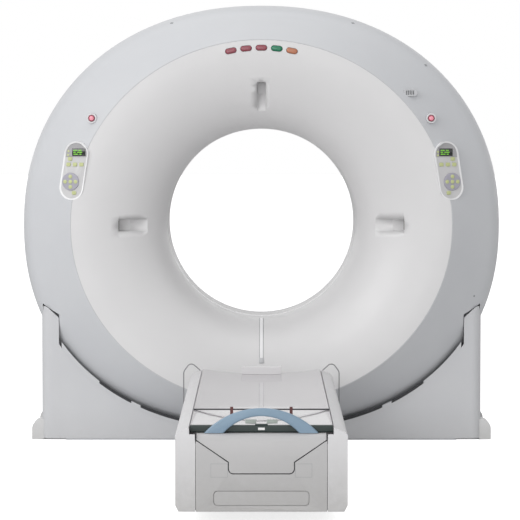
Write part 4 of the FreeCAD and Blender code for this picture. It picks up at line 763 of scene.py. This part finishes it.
# displays, with short rows of green bars, and the small lights beside them
screen = {"size": (0.0656, 0.0048, 0.0346), "edge": 0.0008, "rise": 0.086, "offset": {-1: 0.024, 1: -0.014},
          "back": 0.0015, "left": -0.027, "barSize": (0.0004, 0.0045), "barGap": 0.006, "barProud": 0.00102,
          "rows": ((0.009, (0.02, 0.014)), (0.0, (0.012, 0.026)), (-0.009, (0.024, 0.01)))}
lightSpots = {-1: ((-0.027, 0.091), (-0.029, 0.073)), 1: ((-0.054, 0.088), (-0.054, 0.072))}
glass = bmesh.new()
smallLights = bmesh.new()
for side in (-1, 1):
    spot = panelPlace(side) @ move(screen["offset"][side], 0, screen["rise"])
    join(glass, block(screen["size"], screen["edge"]), spot @ move(0, screen["back"], 0))
    for row, bars in screen["rows"]:
        left = screen["left"]
        for bar in bars:
            join(glass, block((bar, *screen["barSize"])),
                 spot @ move(left + bar / 2, -screen["barProud"], row), 1)
            left += bar + screen["barGap"]
for side, spots in lightSpots.items():
    for x, z in spots:
        light = lathe([(0.001, 0), (0.001, 0.005), (-0.0008, 0.005), (-0.0014, 0.0035), (-0.0016, 0)], 24)
        join(smallLights, light, panelPlace(side) @ move(x, 0, z))
finishPiece("panelLights", smallLights, "ring", ["keyLime"], smooth=50, slot="panel_grey")
finishPiece("displayGlasses", glass, "ring", ["displayGlass", "displayGreen"], ["displays"])
print("control panels made")

# emergency stops: a collar on the ring, and a head with a pale middle on a stem
stop = {"offset": 0.79, "rise": 0.5, "front": 0.452}
collars = bmesh.new()
for side, word in sides:
    place = ringAt(side * stop["offset"], -stop["front"], stop["rise"])
    collar = lathe([(0.004, 0.0155), (-0.0004, 0.0158), (-0.0014, 0.0168), (-0.0014, 0.0225),
                    (-0.0002, 0.0238), (0.03, 0.0238), (0.03, 0.0155), (0.004, 0.0155)])
    join(collars, collar, place)
    head = lathe([(0.006, 0), (0.006, 0.0148), (-0.0035, 0.0148), (-0.0062, 0.0138), (-0.0076, 0.0118),
                  (-0.0078, 0.0106), (-0.0072, 0.0102)])
    button = join(bmesh.new(), head, place)
    join(button, lathe([(-0.0072, 0.0102), (-0.0079, 0.0094), (-0.008, 0)]), place, 1)
    ops.remove_doubles(button, verts=button.verts, dist=weld)
    join(button, lathe([(0.006, 0), (0.006, 0.0078), (0.029, 0.0078), (0.029, 0)]), place)
    finishPiece(f"stopHead{word.capitalize()}", button, f"stop_{word}", ["stopRed", "stopPink"],
                [f"stop_button_{word}"], smooth=50)
finishPiece("stopRings", collars, "ring", ["collarWhite"], ["stop_collars"], smooth=40)

intercom = {"x": 0.692, "rise": 0.619, "front": 0.447, "mesh": (0.046, 0.001, 0.0205), "back": 0.0074}
dressed("intercomPlate", "intercom_grille", "grilleGrey", bevel=0.0008)
backing = blocks([ringAt(intercom["x"], intercom["back"] - intercom["front"], intercom["rise"])],
                 intercom["mesh"])
finishPiece("intercomMesh", backing, "ring", ["grilleShade"], slot="grille_grey")
print("stops and intercom made")

# gantry base: its covers, cut back to a barrel about the tilt axis
base = {"halfWidth": 1.035, "front": 0.34, "cutHalf": 1.146, "cutRadius": 1.04, "cutPower": 2.3,
        "sideDoor": (0.46, 0.34), "sideDoorZ": 0.27, "backDoor": (0.28, 0.2), "backDoorX": 0.8,
        "backDoorZ": 0.16, "footInner": 1.026, "footNear": 0.002}
for side, word in sides:
    doors = bmesh.new()
    frameGroove(doors, at(side * base["halfWidth"], 0, base["sideDoorZ"]) @ turn(90 * side, "Z"),
                *base["sideDoor"])
    frameGroove(doors, at(side * base["backDoorX"], base["front"], base["backDoorZ"]) @ turn(180, "Z"),
                *base["backDoor"])
    shell = carve(nodeCopy(f"base_cover_{word}", True), doors)
    cover(f"baseCover{word.capitalize()}Shell", shell, "base", "baseWhite", f"base_cover_{word}")


def frontEdge(radius):
    # how far below the tilt axis a barrel of this radius meets the base's front
    return -math.sqrt(max(radius ** 2 - base["front"] ** 2, 0.0))


def barrelEdge(x):
    share = 1 - abs(x / base["cutHalf"]) ** base["cutPower"]
    return frontEdge(base["cutRadius"] * share ** (1 / base["cutPower"]))


def sweptEdge(x):
    # the same for what the ring reaches as it tilts, with room to spare
    power = ringSize["powers"][1]
    low = ringSize["below"] * (1 - abs(x / ringSize["halfWidth"]) ** power) ** (1 / power)
    return frontEdge(math.hypot(low, ringSize["halfDepth"]) + edging["clear"])


edging = {"clear": 0.012, "span": (0.02, 0.94), "steps": 72, "low": 0.006, "least": 0.004, "thick": 0.003,
          "lipBack": 0.0052, "sealBack": 0.0049, "sealUp": 0.0005, "sealDown": 0.0025}
band = {"spans": ((0.386, 0.569), (0.613, 0.763)), "steps": 20, "low": 0.002, "up": 0.0008, "down": 0.013,
        "back": 0.0018, "thick": 0.001}


def lipRows(x):
    low = barrelEdge(x) - edging["low"]
    return max(sweptEdge(x), low + edging["least"]), low


def sealRows(x):
    top = lipRows(x)[0]
    return top + edging["sealUp"], top - edging["sealDown"]


def bandRows(x):
    top = max(sweptEdge(x), barrelEdge(x) - band["low"])
    return top + band["up"], top - band["down"]


def edgeStrip(side, span, steps, back, thick, rows):
    # a strip along the base's upper edge; rows gives its upper and lower height at an x
    sheet = bmesh.new()
    ops.create_grid(sheet, x_segments=steps, y_segments=1, size=0.5)
    for vert in sheet.verts:
        x = span[0] + (vert.co.x + 0.5) * (span[1] - span[0])
        upper, lower = rows(x)
        vert.co = (side * x, scanY - base["front"] + back, isoZ + (upper if vert.co.y > 0 else lower))
    ops.recalc_face_normals(sheet, faces=sheet.faces)
    ops.solidify(sheet, geom=sheet.faces[:], thickness=thick)
    return sheet


baseLips = bmesh.new()
baseSeals = bmesh.new()
baseBands = bmesh.new()
for side in (-1, 1):
    for whole, part, rows in ((baseLips, "lip", lipRows), (baseSeals, "seal", sealRows)):
        join(whole, edgeStrip(side, edging["span"], edging["steps"], edging[f"{part}Back"],
                              edging["thick"], rows))
    for span in band["spans"]:
        join(baseBands, edgeStrip(side, span, band["steps"], band["back"], band["thick"], bandRows))
finishPiece("baseEdgeBands", baseBands, "base", ["sealDark"], smooth=40, slot="base_white")
finishPiece("baseEdgeLips", baseLips, "base", ["baseWhite"], smooth=40)
finishPiece("baseEdgeSeals", baseSeals, "base", ["seamGrey"], smooth=40, slot="base_white")

feet = nodeCopy("foot_covers")
for vert in feet.verts:
    if abs(vert.co.x) < base["halfWidth"] + base["footNear"]:
        vert.co.x = math.copysign(base["footInner"], vert.co.x)
finishPiece("footCoverShells", feet, "base", ["footWhite"], ["foot_covers"], smooth=32, bevel=0.0015)

# strips that close the pillars' corners up to just short of the ring's sweep; reach is how far from the
# tilt axis the ring comes: beside the stand arm, its fall per metre outwards, and at the rim
cheek = {"inner": 0.953, "outer": 1.0345, "steps": 28, "face": 0.3405, "round": 0.044, "thick": 0.003,
         "clear": 0.006, "wall": 0.95, "rim": 1.026, "foot": -1.004,
         "reach": {-1: (0.5485, 0.72, 0.5145), 1: (0.566, 1.25, 0.511)}}
cheeks = bmesh.new()
for side in (-1, 1):
    for end, (start, fall, least) in cheek["reach"].items():
        sheet = bmesh.new()
        ops.create_grid(sheet, x_segments=cheek["steps"], y_segments=1, size=0.5)
        for vert in sheet.verts:
            x = cheek["inner"] + (vert.co.x + 0.5) * (cheek["outer"] - cheek["inner"])
            past = max(x - base["halfWidth"] + cheek["round"], 0.0)
            y = cheek["face"] - cheek["round"] + math.sqrt(cheek["round"] ** 2 - past ** 2)
            swept = least if x > cheek["rim"] else start - fall * (x - cheek["wall"])
            top = -math.sqrt((swept + cheek["clear"]) ** 2 - (y - cheek["thick"]) ** 2)
            vert.co = (side * x, scanY + end * y, isoZ + (top if vert.co.y > 0 else cheek["foot"]))
        ops.recalc_face_normals(sheet, faces=sheet.faces)
        if sheet.faces[0].normal.y * end < 0:
            ops.reverse_faces(sheet, faces=sheet.faces)
        ops.solidify(sheet, geom=sheet.faces[:], thickness=cheek["thick"])
        join(cheeks, sheet)
finishPiece("pillarCheeks", cheeks, "base", ["baseWhite"], smooth=40)
dressed("baseFrameSteel", "gantry_base_frame", "frameSteel", bevel=0.002)
dressed("tiltDriveBox", "tilt_drive", "driveDark", bevel=0.003)
dressed("floorDuctCover", "floor_duct", "ductGrey", bevel=0.0015)
print("gantry base dressed")

# rotor and tilt frame
pins = {"trunnion": 0.045, "trunnionInner": 0.95, "axle": 0.018, "slim": 0.0002, "match": 0.0001}
pivots = {joint["name"]: Vector(joint["pos_m"]) for joint in frame["joints"] if "pos_m" in joint}


def slimPins(bm, radius, axes, inner=0.0):
    # the corners of a faceted pin drawn in a hair, so that they turn freely in its faceted bore
    for vert in bm.verts:
        for axis in axes:
            out = Vector((0, vert.co.y - axis.y, vert.co.z - axis.z))
            if abs(vert.co.x) > inner and abs(out.length - radius) < pins["match"]:
                vert.co -= out.normalized() * pins["slim"]
    return bm


tiltFrame = slimPins(nodeCopy("tilt_frame"), pins["trunnion"], [pivots["gantry_tilt"]],
                     pins["trunnionInner"])
finishPiece("tiltFrameSteel", tiltFrame, "ring", ["frameSteel"], ["tilt_frame"], smooth=32, bevel=0.001)
for name, node, look in (
        ("bearingRing", "bearing_race", "bearingSteel"), ("statorRing", "drive_stator", "statorIron"),
        ("rotorDrumShell", "rotor_drum", "rotorAlu"), ("tubeHousing", "xray_tube", "tubeAlu"),
        ("collimatorBox", "collimator", "collimatorSteel"), ("detectorBox", "detector_arc", "detectorAlu"),
        ("slipRingFace", "slip_ring", "ringCopper"), ("powerBoxes", "power_units", "powerGrey")):
    dressed(name, node, look)
print("rotor dressed")

# couch, its frames first
for name, node, look, *extra in (
        ("couchPlinth", "couch_base_frame", "couchSteel"),
        ("liftDriveBody", "lift_drive", "driveDark", 0.002),
        ("upperFrameSteel", "couch_upper_frame", "couchSteel"), ("slideBars", "slide_rails", "slideSteel"),
        ("guardWireRods", "guard_wires", "wireSteel", None), ("tableEndBeam", "table_end_beam", "beamDark"),
        ("pullHandleArch", "pull_handle", "handleBlue", None),
        ("headSocket", "head_holder_socket", "socketGrey", 0.0015, "socket_white")):
    dressed(name, node, look, *extra)

armReach = pivots["couch_level"] - pivots["lift_front_turn"]
for name, end in (("Near", "rear"), ("Far", "front")):
    foot = pivots[f"lift_{end}_turn"]
    arm = slimPins(nodeCopy(f"lift_arm_{end}"), pins["axle"], [foot, foot + armReach])
    finishPiece(f"liftArm{name}", arm, f"lift_{end}", ["armSteel"], [f"lift_arm_{end}"], smooth=32,
                bevel=0.0015)

# tabletop: flat rims and a shallow round dip between them
table = {"half": 0.2675, "near": -3.216, "far": -0.785, "low": 0.337, "top": 0.373, "dip": 0.02,
         "flat": 0.012, "across": 60, "along": 24}
chord = table["half"] - table["flat"]
dipRadius = (chord ** 2 + table["dip"] ** 2) / (2 * table["dip"])
tableTop = bmesh.new()
ops.create_grid(tableTop, x_segments=table["across"], y_segments=table["along"], size=0.5)
for vert in tableTop.verts:
    x = vert.co.x * 2 * table["half"]
    y = table["near"] + (vert.co.y + 0.5) * (table["far"] - table["near"])
    sag = table["top"] - table["dip"] + dipRadius - math.sqrt(dipRadius ** 2 - min(abs(x), chord) ** 2)
    vert.co = (x, scanY + y, min(sag, table["top"]))
under = ops.extrude_face_region(tableTop, geom=tableTop.faces[:])["geom"]
for item in under:
    if isinstance(item, bmesh.types.BMVert):
        item.co.z = table["low"]
ops.recalc_face_normals(tableTop, faces=tableTop.faces)
finishPiece("tableShell", tableTop, "table", ["tableCarbon"], ["tabletop"], smooth=40, bevel=0.002)
print("couch dressed")

# couch trim; dark strips behind its open seams are painted shade in the seams
couch = {"near": -3.295, "halfWidth": 0.322, "bottom": 0.198}


def nearAt(x, inward, z):
    # inward from the couch's near face
    return at(x, couch["near"] + inward, z)


bumper = {"size": (0.007, 0.006, 0.262), "edge": 0.002, "inward": 0.0034, "z": 0.212}
bumperX = couch["halfWidth"] - bumper["size"][0] / 2
bumpers = blocks([nearAt(side * bumperX, bumper["inward"], bumper["z"]) for side in (-1, 1)],
                 bumper["size"], bumper["edge"])
finishPiece("sideBumpers", bumpers, "couch_upper", ["bumperBlue"], slot="couch_white")

# dark strips behind the seams, painted shade: size, then x, inward and z
paintedSeamShades = {
    "seamShadeStrips": ("base", (((0.4, 0.0012, 0.112), (0, 0.0068, 0.247)),
                           ((0.042, 0.0012, 0.013), (0.221, 0.0068, 0.3095)),
                           ((0.0018, 0.016, 0.255), (0.2465, 0.014, 0.187)))),
    "upperSeamShadeStrips": ("couch_upper", (((0.0036, 0.02, 0.034), (0.246, 0.02, 0.327)),)),
}
for name, (body, strips) in paintedSeamShades.items():
    whole = bmesh.new()
    for size, (x, inward, z) in strips:
        for side in (-1, 1) if x else (1,):
            join(whole, block(size), nearAt(side * x, inward, z))
    finishPiece(name, whole, body, ["sealDark"], slot="couch_white")

# lower cover, its front set back a little behind the outlines of two blanks and a recess's panel; the cover
# and the panel are in the darker couch white, painted shade
tubFront = {"match": 0.0005, "back": 0.0006}
blank = {"x": 0.1575, "inward": 0.0009, "z": 0.2096, "width": 0.062, "height": 0.05, "groove": 0.0011,
         "deep": 0.0012}
recess = {"size": (0.353, 0.0052, 0.0515), "inward": 0.0005, "z": 0.1055, "corner": 0.0135}
tub = nodeCopy("couch_lower_cover", True)
for vert in tub.verts:
    if vert.co.y < scanY + couch["near"] + tubFront["match"]:
        vert.co.y += tubFront["back"]
cover("couchTub", tub, "base", "endWhite", "couch_lower_cover", slot="couch_white")
blanks = bmesh.new()
for side in (-1, 1):
    frameGroove(blanks, nearAt(side * blank["x"], blank["inward"], blank["z"]), blank["width"],
                blank["height"], blank["groove"], blank["deep"])
finishPiece("blankOutlines", blanks, "base", ["ductGrey"], slot="couch_white")
infill = block(recess["size"])
roundEdges(infill, depthEdges(infill, recess["size"][1]), recess["corner"], 8)
infill = join(bmesh.new(), infill, nearAt(0, recess["inward"] + recess["size"][1] / 2, recess["z"]))
finishPiece("recessPanel", infill, "base", ["endWhite"], smooth=40, slot="couch_white")

# upper end cover, whose top curves back; it is in the darker couch white, painted shade
nose = {"low": 0.255, "top": 0.345, "back": 0.011, "power": 2.2, "steps": 12, "deep": 0.03, "shrink": 0.993,
        "bottomNear": 0.002, "lift": 0.0012}
endCover = nodeCopy("couch_end_cover", True)
for step in range(nose["steps"]):
    level = nose["low"] + (nose["top"] - nose["low"]) * step / nose["steps"]
    ops.bisect_plane(endCover, geom=allParts(endCover), dist=weld, plane_co=(0, 0, level),
                     plane_no=(0, 0, 1))
for vert in endCover.verts:
    share = max((vert.co.z - nose["low"]) / (nose["top"] - nose["low"]), 0.0)
    if vert.co.y < scanY + couch["near"] + nose["deep"]:
        vert.co.y += nose["back"] * share ** nose["power"]
    vert.co.x *= nose["shrink"]
    if vert.co.z < couch["bottom"] + nose["bottomNear"]:
        vert.co.z += nose["lift"]
cover("endCoverShell", endCover, "couch_upper", "endWhite", "couch_end_cover", slot="couch_white")

sideSeam = {"places": (-2.46, -1.62), "size": (0.003, 0.0022, 0.4), "z": 0.2}
for side, word in sides:
    seams = blocks([at(side * couch["halfWidth"], y, sideSeam["z"]) for y in sideSeam["places"]],
                   sideSeam["size"])
    shell = carve(nodeCopy(f"couch_side_cover_{word}", True), seams)
    cover(f"sideCover{word.capitalize()}Shell", shell, "couch_upper", "couchWhite",
          f"couch_side_cover_{word}")

clip = {"x": 0.1115, "half": 0.014}
rod = nodeCopy("cross_rod")
for face in rod.faces:
    face.material_index = 1 if abs(abs(face.calc_center_median().x) - clip["x"]) < clip["half"] else 0
finishPiece("crossRodBar", rod, "table", ["rodDark", "clipRed"], ["cross_rod"], smooth=32, bevel=0.0008)

# small things on the table, each a rounded block: size, edge, its segments, place and finish
trim = {
    "socketCap": ((0.15, 0.03, 0.0024), 0.001, 3, [(0, -0.802, 0.3869)], "rimWhite", "socket_white"),
    "tablePads": ((0.042, 0.125, 0.003), 0.0012, 2, [(-0.041, -2.915, 0.3542), (0.041, -2.915, 0.3542)],
                  "padGreen", "table_carbon"),
    "beamBump": ((0.048, 0.02, 0.006), 0.0022, 3, [(0, -3.228, 0.3745)], "beamDark", "beam_dark"),
    "beamLabel": ((0.025, 0.0008, 0.009), 0.0003, 1, [(0, -3.2404, 0.36)], "labelBare", "beam_dark"),
}
for name, (size, edge, segments, places, look, slot) in trim.items():
    whole = blocks([at(*place) for place in places], size, edge, segments)
    finishPiece(name, whole, "table", [look], slot=slot)
print("couch trim made")

# stage: a pale floor and world that look white to the camera, soft lights, and the photo's view
stage = {"floorSize": 120.0, "floorColour": (0.8, 0.8, 0.8, 1), "floorGlow": 0.8, "ambient": 0.54,
         "cameraBack": 14.421, "cameraHeight": 1.544, "pitch": 2.824, "yaw": 0.027, "lens": 207.7,
         "sensor": 36.0, "clipEnd": 200.0}
white = (1, 1, 1, 1)
floorTree, floorShader = newMaterial("paleFloor", {"roughness": 0.9, "Specular IOR Level": 0.1,
                                                   "emissionColor": white})
rays = addNode(floorTree, "LightPath")
floorMix = addNode(floorTree, "Mix", [(0, rays.outputs["Is Camera Ray"])], data_type="RGBA")
floorMix.inputs[6].default_value = stage["floorColour"]
floorMix.inputs[7].default_value = white
floorTree.links.new(floorMix.outputs[2], floorShader.inputs["Base Color"])
floorGlow = addNode(floorTree, "Math", [(0, rays.outputs["Is Camera Ray"])], operation="MULTIPLY")
floorGlow.inputs[1].default_value = stage["floorGlow"]
floorTree.links.new(floorGlow.outputs[0], floorShader.inputs["Emission Strength"])
floorMesh = bpy.data.meshes.new("studioFloor")
floorBm = bmesh.new()
ops.create_grid(floorBm, x_segments=1, y_segments=1, size=stage["floorSize"] / 2)
floorBm.to_mesh(floorMesh)
floorBm.free()
floorMesh.materials.append(finishes["paleFloor"])
newObject("studioFloor", floorMesh)

world = bpy.data.worlds.new("studio")
bpy.context.scene.world = world
world.use_nodes = True
worldTree = world.node_tree
worldTree.nodes.clear()
worldRays = addNode(worldTree, "LightPath")
seen = worldRays.outputs["Is Camera Ray"]
for kind in ("Is Glossy Ray", "Is Transmission Ray"):
    seen = addNode(worldTree, "Math", [(0, seen), (1, worldRays.outputs[kind])],
                   operation="MAXIMUM").outputs[0]
strength = rangeNode(worldTree, seen, 0.0, 1.0, stage["ambient"], 1.0)
sky = addNode(worldTree, "Background", [("Strength", strength)], color=white)
addNode(worldTree, "OutputWorld", [("Surface", sky.outputs[0])])

# each light: its place and aim (from the scan plane), size and power
lights = {
    "key": ((-5.5, -7.0, 4.8), (0.0, 0.0, 1.0), 6.0, 330),
    "fill": ((4.5, -9.0, 2.6), (0.0, 0.0, 0.9), 5.0, 20),
    "front": ((-1.5, -13.0, 2.0), (0.0, 0.0, 0.7), 4.0, 140),
    "top": ((0.0, -1.5, 6.5), (0.0, -0.5, 0.0), 5.0, 60),
}
for name, (place, aim, size, power) in lights.items():
    data = bpy.data.lights.new(name, "AREA")
    data.energy, data.size = power, size
    lamp = newObject(name, data)
    lamp.location = at(*place).translation
    lamp.rotation_euler = (at(*aim).translation - lamp.location).to_track_quat("-Z", "Y").to_euler()

cameraData = bpy.data.cameras.new("photoCamera")
cameraData.lens = stage["lens"]
cameraData.sensor_width = stage["sensor"]
cameraData.clip_end = stage["clipEnd"]
camera = newObject("photoCamera", cameraData)
camera.location = (0, scanY - stage["cameraBack"], stage["cameraHeight"])
camera.rotation_euler = (math.radians(90 - stage["pitch"]), 0, math.radians(stage["yaw"]))
bpy.context.scene.camera = camera
bpy.context.scene.view_settings.view_transform = "Standard"
print("stage set")
